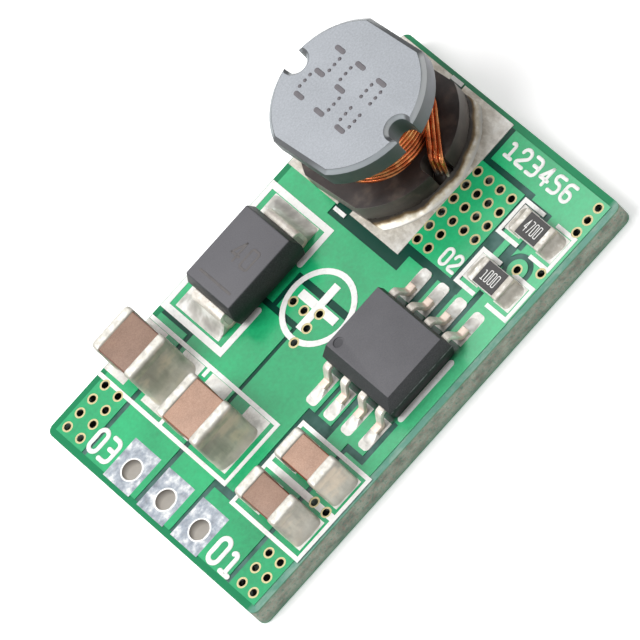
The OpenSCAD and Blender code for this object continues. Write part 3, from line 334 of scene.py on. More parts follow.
class Finish(Graph):
    """A procedural material on object coordinates. Sizes and places along an axis are in millimetres."""

    def __init__(self, name, **sockets):
        self.material = bpy.data.materials.new(name)
        self.material.use_nodes = True
        super().__init__(self.material.node_tree)
        self.shader = self.tree.nodes["Principled BSDF"]
        for key, value in sockets.items():
            self.shader.inputs[key.replace("_", " ").title().replace("Ior", "IOR")].default_value = value
        spots = self.add("ShaderNodeTexCoord")
        self.place, self.normal = spots.outputs["Object"], spots.outputs["Normal"]

    def noise(self, size, detail=3, stretch=(1, 1, 1), rough=0.55):
        """Cloudy grain of about that size, from 0 to 1."""
        scale = [share / (size * MM) for share in stretch]
        spread = self.add("ShaderNodeMapping", {"Vector": self.place, "Scale": scale})
        return self.add("ShaderNodeTexNoise", {"Vector": spread.outputs[0], "Scale": 1.0, "Detail": detail,
                                               "Roughness": rough}).outputs[0]

    def weave(self, size):
        """Crossed threads of that spacing, from 0 to 1."""
        bands_apart = 0.314
        waves = {"Scale": bands_apart / (size * MM), "Distortion": 1.2, "Detail": 1.0, "Detail Scale": 1.5}
        threads = [self.add("ShaderNodeTexWave", {"Vector": self.place, **waves}, bands_direction=axis)
                   for axis in "XY"]
        return self.times(*(thread.outputs["Fac"] for thread in threads))

    def part(self, axis, source):
        """One part of a place or a direction."""
        return self.add("ShaderNodeSeparateXYZ", {0: source}).outputs["XYZ".index(axis)]

    def spot(self, axis):
        """A coordinate in metres."""
        return self.part(axis, self.place)

    def lean(self, axis):
        """How far a face looks along an axis, from -1 to 1."""
        return self.part(axis, self.normal)

    def gap(self, value, middle=0.0):
        """Distance of a value from a middle."""
        return self.maths("ABSOLUTE", self.maths("SUBTRACT", value, middle))

    def step(self, value, low, high):
        """A step from 0 to 1 between two values."""
        return self.add("ShaderNodeMapRange", {"Value": value, "From Min": low, "From Max": high}).outputs[0]

    def along(self, axis, low, high):
        """A step from 0 to 1 between two places on an axis."""
        return self.step(self.spot(axis), low * MM, high * MM)

    def above(self, low, high, base=BOARD_TOP):
        """A step from 0 to 1 between two heights above a base."""
        return self.step(self.spot("Z"), base + low * MM, base + high * MM)

    def upward(self, low, high):
        """A step from faces that look less upward to those that look more so."""
        return self.step(self.lean("Z"), low, high)

    def level(self, low=0.4, high=0.6):
        """1 on faces that look up or down, 0 on upright ones."""
        return self.step(self.gap(self.lean("Z")), low, high)

    def away(self, point, across=(1, 1, 1)):
        """Distance from a point in metres, along the axes that are kept."""
        kept = self.add("ShaderNodeVectorMath", {0: self.place, 1: across}, operation="MULTIPLY").outputs[0]
        spot = [place * keep for place, keep in zip(point, across)]
        return self.add("ShaderNodeVectorMath", {0: kept, 1: spot}, operation="DISTANCE").outputs["Value"]

    def over(self, low, high, fade):
        """1 over a box in metres seen from above, 0 beyond the fade."""
        sides = []
        for axis, start, end in zip("XY", low, high):
            half = (end - start) / 2
            sides.append(self.step(self.gap(self.spot(axis), start + half), half + fade * MM, half))
        return self.times(*sides)

    def mix(self, factor, first, second, blend="MIX"):
        """Blend two colours. The node's inputs 6 and 7 and its output 2 are the ones for colours."""
        values = {0: factor}
        for index, value in ((6, first), (7, second)):
            values[index] = value if isinstance(value, bpy.types.NodeSocket) else (*value[:3], 1)
        return self.add("ShaderNodeMix", values, data_type="RGBA", blend_type=blend).outputs[2]

    def tinge(self, base, shade, where, strength=1.0):
        """Colour a base where a value says so, with that strength."""
        return self.mix(self.times(where, strength), base, shade)

    def ramp(self, value, *stops, of=None):
        """Colours along a value. Each stop has a position and a colour, or a factor of the given colour."""
        node = self.add("ShaderNodeValToRGB", {0: value})
        points = node.color_ramp.elements
        while len(points) < len(stops):
            points.new(0.5)
        for point, (position, tone) in zip(points, stops):
            shade = scaled(of, tone) if isinstance(tone, (int, float)) else tone
            point.position, point.color = position, (*shade[:3], 1)
        return node.outputs[0]

    def relief(self, depth, strength, *heights):
        """Bump of that depth from the sum of one or two heights."""
        height = self.maths("ADD", *heights) if len(heights) > 1 else heights[0]
        bump = self.add("ShaderNodeBump", {"Height": height, "Distance": depth * MM, "Strength": strength})
        self.tree.links.new(bump.outputs[0], self.shader.inputs["Normal"])

    def rough(self, value, low, high):
        """Let the roughness run between two ends with a value."""
        run = self.add("ShaderNodeMapRange", {"Value": value, "To Min": low, "To Max": high})
        self.tree.links.new(run.outputs[0], self.shader.inputs["Roughness"])

    def coloured(self, shade):
        """Set the colour and give the finished material."""
        self.tree.links.new(shade, self.shader.inputs["Base Color"])
        return self.material


def mask_finish(name, looks):
    """Green mask over copper: uneven, with painted glare towards the front right and on the upright front
    edge, and dark between the controller's leads, partly bare laminate and partly painted shadow.
    """
    finish = Finish(name, ior=1.45, coat_weight=0.15, coat_roughness=0.15)
    cloud, grain = finish.noise(3.2), finish.noise(0.16)
    base = finish.ramp(cloud, (0.3, 0.8), (0.5, 1), (0.72, 1.25), of=looks.mask)
    # Painted glare: the mask is paler towards the front right.
    corner = finish.times(finish.along("Y", -1.5, -7.5), finish.along("X", -7, 5))
    base = finish.tinge(base, looks.sheen, corner, 0.6)
    base = finish.mix(0.14, base, finish.ramp(grain, (0.3, 0.5), (0.7, 1.9), of=looks.mask))
    # Round the controller's body, between its leads, the mask is darkened on the top side only: partly bare
    # laminate, partly painted shadow.
    low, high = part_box("controller_body")
    margin = Vector((0.15, -0.3, 0)) * MM
    top_side = finish.step(finish.spot("Z"), BOARD_UNDER, BOARD_DECK)
    bare_laminate_and_shadow = finish.times(finish.over(low - margin, high + margin, 0.32), top_side)
    base = finish.tinge(base, scaled(looks.trench, 0.4), bare_laminate_and_shadow, 0.9)
    # Painted highlight: the upright front edge of the pour takes the glare colour.
    lit_front_edge = finish.times(finish.upward(0.7, 0.3), finish.along("Y", -6.5, -7))
    finish.rough(grain, 0.26, 0.44)
    finish.relief(0.004, 0.5, finish.times(finish.weave(0.42), 0.4), grain)
    return finish.coloured(finish.mix(lit_front_edge, base, looks.sheen))


def laminate_finish(looks):
    """Masked laminate on its faces, greener along the rim, and cut glass cloth on its edges."""
    finish = Finish("laminate_cut_and_masked", ior=1.25)
    layers, specks = finish.noise(0.6, 4, (0.7, 0.7, 1.2), 0.62), finish.noise(0.15)
    cut = finish.ramp(layers, (0.34, 0.6), (0.5, 1), (0.66, 1.28), of=looks.edge)
    cut = finish.tinge(cut, Shade.RED_GLASS, finish.step(specks, 0.5, 0.66), 0.5)
    cut = finish.tinge(cut, Shade.GREEN_GLASS, finish.step(specks, 0.47, 0.32), 0.7)
    cut = finish.tinge(cut, Shade.GREEN_FOOT, finish.above(0.35, -0.2, BOARD_UNDER))
    lip = finish.maths("MAXIMUM", finish.above(-0.12, -0.02, BOARD_DECK),
                       finish.above(0.08, 0.02, BOARD_UNDER))
    cut = finish.tinge(cut, looks.rim, lip, 0.6)
    cloud = finish.noise(1.2)
    grey = finish.maths("MAXIMUM", finish.along("Y", -1.5, -4.5), finish.along("X", -4, -9))
    trench = finish.mix(grey, looks.trench, looks.trench_sheen)
    trench = finish.tinge(trench, scaled(looks.trench, 0.9), finish.step(cloud, 0.35, 0.75))
    pour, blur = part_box("copper_pour_top")[1], 0.01 * MM
    rim = finish.maths("MAXIMUM", *(finish.step(finish.gap(finish.spot(axis)), limit - blur, limit + blur)
                                    for axis, limit in (("X", pour.x), ("Y", pour.y))))
    front = finish.step(finish.spot("Y"), 0.2 * MM - pour.y, -0.05 * MM - pour.y)
    band = finish.mix(front, looks.rim, looks.rim_sheen)
    band = finish.tinge(band, scaled(looks.rim, 0.8), finish.step(cloud, 0.4, 0.7), 0.3)
    streaks = finish.times(front, finish.step(finish.noise(0.35, 4, (0.5, 1, 1)), 0.46, 0.66))
    band = finish.tinge(band, Shade.EDGE_STREAK, streaks, 0.6)
    faces = finish.level()
    finish.rough(faces, 0.7, 0.3)
    finish.relief(0.008, 0.5, layers, specks)
    return finish.coloured(finish.mix(faces, cut, finish.mix(rim, trench, band)))


def ink_finish(name, shade):
    """Printed ink, a little thin in places."""
    finish = Finish(name)
    thin = finish.noise(0.22, 4)
    finish.relief(0.004, 0.4, finish.noise(0.05, 2))
    finish.rough(thin, 0.62, 0.45)
    return finish.coloured(finish.ramp(thin, (0.22, 0.774), (0.45, 0.97), (0.7, 1), of=shade))


def ring_finish(looks):
    """Pale bare rings of a via; painted shade inside, with a few painted glints."""
    finish = Finish("via_ring_and_barrel", metallic=0.35)
    grain, glint = finish.noise(0.08), finish.noise(0.7)
    ring = finish.ramp(grain, (0.3, 0.8), (0.7, 1), of=looks.ring)
    # Painted shade inside the barrel, with painted glints here and there.
    inside = finish.ramp(glint, (0.42, Shade.BORE_SHADE), (0.52, Shade.BORE_WALL_SHADE), (0.6, Shade.BORE_GLINT))
    finish.rough(grain, 0.3, 0.5)
    finish.relief(0.006, 0.5, grain)
    return finish.coloured(finish.mix(finish.level(), inside, ring))


def tinned(finish, shade, depth):
    """Colours of hot tin on copper, with frosted patches, partly painted highlights, and flow marks."""
    patch, flow = finish.noise(0.6, 4, rough=0.6), finish.noise(0.22)
    # The palest patches are partly frost and partly painted highlights.
    base = finish.ramp(patch, (0.34, 1 - depth), (0.5, 1), (0.7, Shade.TIN_FROST_AND_HIGHLIGHT), of=shade)
    finish.rough(patch, 0.36, 0.55)
    finish.relief(0.012, 0.4, patch, finish.times(flow, 0.4))
    return finish.mix(0.15, base, finish.ramp(flow, (0.35, 1 - depth), (0.65, Shade.TIN_BRIGHT), of=shade))


def land_finish(looks):
    """Smooth pale tin of the lands, stained and streaked round the inductor."""
    finish = Finish("mottled_land_tin", metallic=0.2)
    base = tinned(finish, looks.land, 0.3)
    foot = Vector((*INDUCTOR_MIDDLE.xy, BOARD_TOP))
    stain = finish.step(finish.away(foot), FLANGE_RADIUS + 1.8 * MM, FLANGE_RADIUS + 0.4 * MM)
    streaks = finish.step(finish.noise(0.45, 4, (1, 0.45, 1), 0.65), 0.4, 0.62)
    base = finish.tinge(base, Shade.TIN_STAIN, stain, 0.3)
    return finish.coloured(finish.tinge(base, Shade.TIN_STREAK, finish.times(stain, streaks), 0.6))


def terminal_finish(looks):
    """Mottled tin of the terminal pads, with a bright collar round each hole and a warm grey barrel, painted
    paler lower down against the shade in the hole.
    """
    finish = Finish("tinned_terminal", metallic=0.4)
    base = tinned(finish, looks.terminal, 0.4)
    collar = 0.0
    for hole in TERMINAL_HOLES:
        collar = finish.maths("MAXIMUM", finish.step(finish.away(hole), 0.6 * MM, 0.56 * MM), collar)
    pads = finish.level(0.5, 0.9)
    base = finish.tinge(base, Shade.TIN_COLLAR, collar, pads)
    # Painted light: the barrel is paler lower down, against the shade inside the hole, and darker at the top.
    barrel = finish.mix(finish.above(-0.5, 0, BOARD_DECK), Shade.BARREL_LOW, Shade.BARREL_HIGH)
    return finish.coloured(finish.mix(pads, barrel, base))


def ferrite_finish(looks):
    """Ground ferrite: a pale speckled top in a dark line of painted shade, a bevel with painted highlights,
    sides painted lit towards +X and shaded elsewhere, varnish below with a painted reflection on its ends.
    """
    finish = Finish("ferrite_core", ior=1.45)
    specks, cloud = finish.noise(0.09, 4, rough=0.75), finish.noise(1.6, 4)
    face = finish.ramp(cloud, (0.25, 0.9), (0.55, 1), (0.8, 1.1), of=looks.ferrite)
    face = finish.mix(0.42, face, finish.ramp(specks, (0.3, 0.6), (0.7, 1.42), of=looks.ferrite))
    # Painted light and shade: sides facing +X are lit, the others shaded.
    right = finish.step(finish.lean("X"), -0.2, 0.95)
    side = finish.mix(right, Shade.CORE_LEFT, Shade.CORE_RIGHT)
    side = finish.tinge(side, Shade.CORE_DUST, finish.step(cloud, 0.4, 0.7), 0.3)
    # Painted highlights on the bevel, brighter facing +X and darker on the flats.
    bevel = finish.mix(right, Shade.BEVEL_LEFT, Shade.BEVEL_RIGHT)
    bevel = finish.mix(finish.step(finish.gap(finish.lean("Y")), 0.3, 0.12), bevel, Shade.BEVEL_FLAT)
    # Painted shade: a dark line on the rounded edge round the top, broken here and there.
    line = finish.times(finish.upward(0.74, 0.86), finish.step(finish.noise(1.3, 2), 0.2, 0.6))
    upper = finish.mix(finish.upward(0.4, 0.62), side, bevel)
    upper = finish.tinge(upper, Shade.CORE_EDGE_SHADE, line, 0.85)
    upper = finish.mix(finish.upward(0.95, 0.99), upper, face)
    varnish = finish.ramp(finish.noise(0.9, 4), (0.32, 0.62), (0.52, 1), (0.68, Shade.VARNISH_PALE),
                          (0.82, Shade.VARNISH_AMBER), of=looks.resin)
    # Painted reflection on the varnish where it faces along X.
    ends = finish.step(finish.gap(finish.lean("X")), 0.3, 1)
    varnish = finish.tinge(varnish, Shade.VARNISH_REFLECTION, ends, 0.7)
    finish.rough(cloud, 0.44, 0.6)
    finish.relief(0.01, 0.5, specks, finish.times(cloud, 0.6))
    return finish.coloured(finish.mix(finish.along("Z", 3.1, 2.7), upper, varnish))


def copper_finish(looks):
    """Enamelled copper: bright orange metal under an amber coat, with painted highlights in pale streaks,
    browner in places, tinned at its ends.
    """
    finish = Finish("enamelled_copper", metallic=0.85, coat_weight=0.5, coat_roughness=0.1)
    streak = finish.noise(0.6, 4, (1, 1, 0.5))
    # The palest streaks are painted highlights.
    base = finish.ramp(streak, (0.3, 0.5), (0.48, 1), (0.66, Shade.COPPER_HIGHLIGHT), of=looks.copper)
    tin = finish.ramp(streak, (0.4, Shade.COPPER_BURNT), (0.55, Shade.COPPER_TINNED))
    finish.rough(streak, 0.3, 0.16)
    finish.relief(0.003, 0.4, finish.noise(0.06, 2))
    return finish.coloured(finish.mix(finish.above(0.95, 0.6), base, tin))


def moulding_finish(looks):
    """Moulded epoxy: matt grain, dusty and pale on top, the paleness partly painted light; darker sides and
    painted shade underneath and below the parting line; a parting line round the controller.
    """
    finish = Finish("moulded_epoxy", ior=1.4)
    grain, cloud = finish.noise(0.05, rough=0.7), finish.noise(1.3, 4)
    # The pale top is partly painted light.
    top = finish.ramp(cloud, (0.25, 0.9), (0.55, 1), (0.8, 1.1), of=looks.moulding)
    top = finish.tinge(top, scaled(looks.moulding, 1.3), finish.along("Y", 0, 2), 0.5)
    # Painted shade: sides darker than the top, darkest facing down.
    side = finish.mix(finish.upward(-0.1, 0.6), Shade.EPOXY_UNDER, Shade.EPOXY_SIDE)
    # The diode, behind Y = 0, is lifted out of the controller's heights, so it gets no parting line.
    lift = finish.times(finish.along("Y", 0, 1), 9 * MM)
    height = finish.maths("ADD", finish.spot("Z"), lift)
    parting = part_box("controller_lead_1")[1].z - 0.1 * MM
    # Painted shade: darker still below the parting line.
    side = finish.mix(finish.step(height, parting + 0.02 * MM, parting - 0.02 * MM), side, Shade.EPOXY_LOW)
    seam = finish.step(finish.gap(height, parting), 0.05 * MM, 0.02 * MM)
    seam = finish.times(seam, finish.step(finish.noise(0.4), 0.4, 0.6))
    side = finish.tinge(side, Shade.EPOXY_SEAM, seam, 0.7)
    base = finish.mix(finish.upward(0.7, 0.97), side, top)
    base = finish.mix(0.12, base, finish.ramp(grain, (0.3, Shade.EPOXY_DARK), (0.7, Shade.EPOXY_DUST)))
    dimple = finish.step(finish.away(DIMPLE, (1, 1, 0)), 0.27 * MM, 0.22 * MM)
    finish.rough(grain, 0.42, 0.6)
    finish.relief(0.006, 0.5, grain)
    return finish.coloured(finish.tinge(base, Shade.EPOXY_DIMPLE, dimple, 0.6))


def lead_finish(looks):
    """Tinned lead frame: satin and creamy, a little pink on the feet."""
    finish = Finish("tinned_lead", metallic=0.3)
    patch = finish.noise(0.3)
    base = finish.ramp(patch, (0.25, 0.78), (0.5, 1), (0.75, Shade.LEAD_PALE), of=looks.lead)
    finish.rough(patch, 0.3, 0.48)
    finish.relief(0.004, 0.5, patch, finish.noise(0.05, 2))
    return finish.coloured(finish.tinge(base, Shade.LEAD_FEET, finish.above(0.4, 0.24), 0.6))


def ceramic_finish(looks):
    """Fired ceramic: speckled tan, each capacitor in its own tone, with painted shade making its edges and
    sides browner.
    """
    finish = Finish("fired_ceramic", ior=1.5)
    specks = finish.noise(0.06, 4, rough=0.7)
    base = finish.ramp(finish.noise(0.8, 4), (0.25, 0.8), (0.55, 1), (0.8, 1.18), of=looks.ceramic)
    base = finish.mix(0.3, base, finish.ramp(specks, (0.3, Shade.CERAMIC_DARK), (0.7, Shade.CERAMIC_PALE)))
    for name, tone in CERAMIC_TONES.items():
        body = finish.over(*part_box(name + "_body"), 0.2)
        base = finish.mix(body, base, (tone, tone * 1.02, tone * 1.03), "MULTIPLY")
    finish.rough(specks, 0.38, 0.55)
    finish.relief(0.006, 0.5, specks)
    # Painted shade: faces that don't look straight up are darker and browner.
    return finish.coloured(finish.mix(finish.upward(0.98, 0.7), base, Shade.CERAMIC_SIDE_SHADE, "MULTIPLY"))


def cap_finish(name, pale, dull):
    """Fired and tinned metal: pale on top and low down, streaked and blotched, dull where it is steep, the
    dull partly tarnish and partly painted shade, with painted shade on the rounded edges of the top.
    """
    finish = Finish(name, metallic=0.2)
    streak, patch = finish.noise(0.45, 4, (1, 1, 0.2), 0.6), finish.noise(0.35)
    blotch = finish.noise(0.8, 3, (0.55, 1, 1))
    light = finish.ramp(patch, (0.3, 0.74), (0.5, 1), (0.7, Shade.CAP_PALE), of=pale)
    # Painted shade on the rounded edges of the top.
    light = finish.tinge(light, scaled(dull, 0.7), finish.upward(0.985, 0.8), 0.6)
    steep = finish.ramp(streak, (0.3, 0.66), (0.5, 1), (0.66, 1.25), (0.8, pale), of=dull)
    steep = finish.tinge(steep, pale, finish.above(0.6, 0.1), 0.55)
    steep = finish.tinge(steep, scaled(dull, 0.5), finish.above(0.6, 1.5), 0.6)
    steep = finish.tinge(steep, Shade.CAP_TAN, finish.step(blotch, 0.5, 0.66), 0.55)
    steep = finish.tinge(steep, Shade.CAP_GREY, finish.step(blotch, 0.47, 0.34), 0.5)
    finish.rough(streak, 0.3, 0.46)
    finish.relief(0.008, 0.4, streak, patch)
    # The steep faces take the dull colour: partly tarnish, partly painted shade.
    return finish.coloured(finish.mix(finish.upward(0.3, 0.8), steep, light))


def glaze_finish(looks):
    """Dark glaze of a resistor."""
    finish = Finish("resistor_glaze", ior=1.5)
    cloud = finish.noise(0.3, 4)
    finish.rough(cloud, 0.28, 0.45)
    finish.relief(0.006, 0.5, cloud)
    return finish.coloured(finish.ramp(cloud, (0.3, 0.75), (0.7, 1.3), of=looks.overcoat))


def alumina_finish(looks):
    """White substrate with a fine grain."""
    finish = Finish("white_alumina", roughness=0.5)
    grain = finish.noise(0.06)
    finish.relief(0.006, 0.5, grain)
    return finish.coloured(finish.ramp(grain, (0.3, 0.82), (0.7, 1), of=looks.alumina))


def solder_finish(looks):
    """Bright solder with soft flow marks and painted highlights, duller where it is steep as painted shade.
    """
    finish = Finish("bright_solder", metallic=0.3)
    flow = finish.noise(0.7, 2)
    # The palest flow marks are painted highlights.
    base = finish.ramp(flow, (0.3, 0.7), (0.5, 1), (0.68, Shade.SOLDER_HIGHLIGHT), of=looks.solder)
    finish.rough(flow, 0.3, 0.42)
    finish.relief(0.008, 0.3, flow)
    # Painted shade: steep faces are duller.
    return finish.coloured(finish.tinge(base, Shade.SOLDER_STEEP_SHADE, finish.upward(0.5, 0.1), 0.6))


def flux_finish(looks):
    """Solder under dried flux: a dark band next to the core, partly dark flux and partly painted shadow, then
    amber, then cream, partly a painted highlight, silver outside.
    """
    finish = Finish("fluxed_solder", metallic=0.2)
    flow, patch = finish.noise(0.4, 4), finish.noise(1.1, 4)
    sway = finish.times(finish.maths("SUBTRACT", patch, 0.5), 0.35 * MM)
    ragged = finish.maths("ADD", finish.away(INDUCTOR_MIDDLE, (1, 1, 0)), sway)
    base = finish.ramp(flow, (0.3, 0.72), (0.5, 1), (0.7, Shade.FLUX_PALE), of=looks.flux)
    # Rings from outside in: silver solder, amber flux, and a dark band next to the core, partly dark flux,
    # partly painted shadow; the cream between them is partly a painted highlight.
    rings = (looks.solder, 0.3, 0.45), (Shade.FLUX_AMBER, 0.26, 0.16), (Shade.FLUX_DARK_AND_SHADOW, 0.2, 0.08)
    for shade, start, full in rings:
        ring = finish.step(ragged, FLANGE_RADIUS + start * MM, FLANGE_RADIUS + full * MM)
        base = finish.mix(ring, base, shade)
    finish.rough(flow, 0.28, 0.42)
    finish.relief(0.012, 0.5, flow, patch)
    return finish.coloured(base)


def floor_finish(looks):
    """Pale floor with a very faint unevenness and a little light of its own."""
    finish = Finish("pale_floor", roughness=0.9, emission_color=(1, 1, 1, 1), emission_strength=looks.glow)
    finish.shader.inputs["Specular IOR Level"].default_value = 0
    return finish.coloured(finish.ramp(finish.noise(60, 2), (0.3, 0.985), (0.7, 1), of=looks.floor))


def shared(name, build, *arguments):
    """A material that several pieces share."""
    return bpy.data.materials.get(name) or build(*arguments)


def legend_ink(looks):
    """The white ink of the board's print."""
    return shared("legend_ink", ink_finish, "legend_ink", looks.ink)


def land_tin(looks):
    """The tin of the lands and of the inductor's electrodes."""
    return shared("mottled_land_tin", land_finish, looks)


def epoxy(looks):
    """The moulded bodies of the diode and the controller."""
    return shared("moulded_epoxy", moulding_finish, looks)


def lead_tin(looks):
    """The tin of the diode's and the controller's leads."""
    return shared("tinned_lead", lead_finish, looks)


def cap_tin(looks):
    """The tin of the capacitors' end caps."""
    return shared("tinned_end_cap", cap_finish, "tinned_end_cap", looks.cap, looks.tarnish_and_shade)


def resistor_tin(looks):
    """The tin of the resistors' end caps."""
    return shared("resistor_end_cap", cap_finish, "resistor_end_cap", looks.resistor_cap, looks.tarnish_and_shade)


def dress(names, material):
    """Give CAD nodes a better material."""
    for name in names:
        slots = NODES[name].data.materials
        slots.clear()
        slots.append(material)


def linked(name, data):
    """A new object at the origin."""
    piece = bpy.data.objects.new(name, data)
    bpy.context.scene.collection.objects.link(piece)
    return piece


def merged(nodes):
    """CAD nodes' meshes in one, with the loose triangles joined."""
    shape = bmesh.new()
    for node in nodes:
        shape.from_mesh(NODES[node].data)
    bmesh.ops.remove_doubles(shape, verts=shape.verts, dist=MERGE)
    return shape


def solid(shape, name, material):
    """A piece from an edited shape, without the CAD's own shading."""
    mesh = bpy.data.meshes.new(name)
    shape.to_mesh(mesh)
    shape.free()
    for layer in [a.name for a in mesh.attributes if a.name == "custom_normal" or a.domain == "CORNER"]:
        if layer in mesh.attributes and not layer.startswith("."):
            mesh.attributes.remove(mesh.attributes[layer])
    mesh.materials.clear()
    mesh.materials.append(material)
    return linked(name, mesh)


def plain_mesh(holder):
    """An object's mesh with its modifiers applied."""
    graph = bpy.context.evaluated_depsgraph_get()
    mesh = bpy.data.meshes.new_from_object(holder.evaluated_get(graph), depsgraph=graph)
    if not mesh.polygons:
        raise RuntimeError(f"{holder.name} came out empty")
    holder.modifiers.clear()
    return mesh


def settled(piece, material):
    """Apply a piece's modifiers and shade it smooth between its sharp edges."""
    old, piece.data = piece.data, plain_mesh(piece)
    bpy.data.meshes.remove(old)
    if not piece.data.materials:
        piece.data.materials.append(material)
    piece.data.shade_smooth()
    piece.data.set_sharp_from_angle(angle=ROUND_BELOW)
    return piece


def handed_over(piece, slot, *nodes):
    """Let a finished piece ride on the board, in place of its CAD nodes."""
    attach(piece, "root")
    if nodes:
        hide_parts(*nodes)
    return piece


def softened(node, edge, material, slot, change=None):
    """A CAD node with rounded edges."""
    shape = merged([node])
    bmesh.ops.dissolve_limit(shape, angle_limit=FLAT, verts=shape.verts, edges=shape.edges)
    if change:
        change(shape)
    piece = solid(shape, node + "_finished", material)
    bevel = piece.modifiers.new("rounding", "BEVEL")
    bevel.width, bevel.segments, bevel.limit_method, bevel.angle_limit = edge, 3, "ANGLE", BEVEL_ABOVE
    bevel.use_clamp_overlap = True
    return handed_over(settled(piece, material), slot, node)


def hulled(shape):
    """A change to the shape's convex hull."""
    made = bmesh.ops.convex_hull(shape, input=shape.verts)
    inner = set(made["geom_interior"] + made["geom_unused"])
    bmesh.ops.delete(shape, geom=[v for v in shape.verts if v in inner], context="VERTS")


def flowed(name, node, material, slot, flow, *changes):
    """A CAD node with its edges flowed together and an uneven surface."""
    grain, lumps, passes, lump_size = flow
    shape = merged([node])
    for change in changes:
        change(shape)
    piece = solid(shape, name, material)
    remesh = piece.modifiers.new("cells", "REMESH")
    remesh.mode, remesh.voxel_size = "VOXEL", grain
    smooth = piece.modifiers.new("flow", "SMOOTH")
    smooth.factor, smooth.iterations = 0.5, passes
    texture = bpy.data.textures.new(name + "_lumps", "CLOUDS")
    texture.noise_scale, texture.noise_depth = lump_size, 2
    uneven = piece.modifiers.new("unevenness", "DISPLACE")
    uneven.texture, uneven.texture_coords, uneven.strength, uneven.mid_level = texture, "LOCAL", lumps, 0.5
    return handed_over(settled(piece, material), slot, node)


def run_on(cap, body, lap):
    """A change that lets an end cap's mouth reach further over its body."""
    low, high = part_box(cap)
    axis = 0 if high.x - low.x < high.y - low.y else 1
    inward = math.copysign(1, sum(corner[axis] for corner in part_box(body)) - low[axis] - high[axis])
    mouth, near = high[axis] if inward > 0 else low[axis], 0.01 * MM

    def change(shape):
        for vertex in shape.verts:
            if abs(vertex.co[axis] - mouth) < near:
                vertex.co[axis] += inward * lap
    return change


def separate_solids(node):
    """The points of each separate solid of a CAD node."""
    shape = merged([node])
    left, found = set(shape.verts), []
    while left:
        edge, points = [left.pop()], []
        while edge:
            vertex = edge.pop()
            points.append(vertex.co.copy())
            near = {link.other_vert(vertex) for link in vertex.link_edges} & left
            left -= near
            edge += near
        found.append(points)
    shape.free()
    return sorted(found, key=lambda points: (min(p.x for p in points), min(p.y for p in points)))


def add_fillet(shape, points, looks, climb, crest, square, ragged):
    """Add a hollow fillet in place of a stepped one. Its rim runs into the part behind it."""
    columns, rows, hollow, film_start, rag_size, level = 28, 20, 0.7, 0.2, 0.5 * MM, 0.01 * MM
    low, high = Vector(map(min, zip(*points))), Vector(map(max, zip(*points)))
    upper = [point for point in points if point.z > high.z - level]
    lean = sum(upper, Vector()) / len(upper) - (low + high) / 2
    axis = 0 if abs(lean.x) > abs(lean.y) else 1
    out = Vector()
    out[axis] = -math.copysign(1, lean[axis])
    run, rise = high[axis] - low[axis], (high.z - low.z) * climb
    edges = low[1 - axis], high[1 - axis]
    if isinstance(crest, float):
        inset = (edges[1] - edges[0]) * crest / 2
        crest = edges[0] + inset, edges[1] - inset
    grid = []
    for row in range(rows + 1):
        part = row / rows
        turn = part * math.pi / 2
        reach = run * ((1 - hollow) * part + hollow * (1 - math.cos(turn)))
        start = min(1, part / film_start)
        start *= start * (3 - 2 * start)
        reach = min(run, reach + looks.film * start - looks.sink * (1 - start))
        left, right = (top + (bottom - top) * part for top, bottom in zip(crest, edges))
        front, back = [], []
        for column in range(columns + 1):
            across = -math.cos(math.pi * column / columns)
            swell = max(0, 1 - across ** square) ** (1 / square)
            spot = low.copy()
            spot[axis] = high[axis] if out[axis] < 0 else low[axis]
            spot[1 - axis] = (left + right + (right - left) * across) / 2
            spot.z += rise * ((1 - hollow) * (1 - part) + hollow * (1 - math.sin(turn)))
            uneven = 1 - ragged * (1 + noise.noise(spot / rag_size)) * part
            front.append(shape.verts.new(spot + out * (reach * swell * uneven - looks.sink * (1 - swell))))
            back.append(shape.verts.new(spot - out * looks.sink))
        grid.append((front, back))
    strips = [(upper[face], lower[face]) for upper, lower in zip(grid, grid[1:]) for face in (0, 1)]
    for upper, lower in strips + [grid[0], grid[-1]]:
        for column in range(columns):
            shape.faces.new((upper[column], upper[column + 1], lower[column + 1], lower[column]))


def filleted(node, looks, material, climb=1.0, crest=0.06, square=4, ragged=0.12, change=None):
    """Hollow fillets for a CAD node's stepped ones. The crest is a pair of limits or a share left out."""
    shape = bmesh.new()
    for points in separate_solids(node):
        add_fillet(shape, points, looks, climb, crest, square, ragged)
    if change:
        change(shape)
    bmesh.ops.remove_doubles(shape, verts=shape.verts, dist=MERGE)
    bmesh.ops.recalc_face_normals(shape, faces=shape.faces)
    return handed_over(settled(solid(shape, node + "_flowed", material), material), "solder", node)


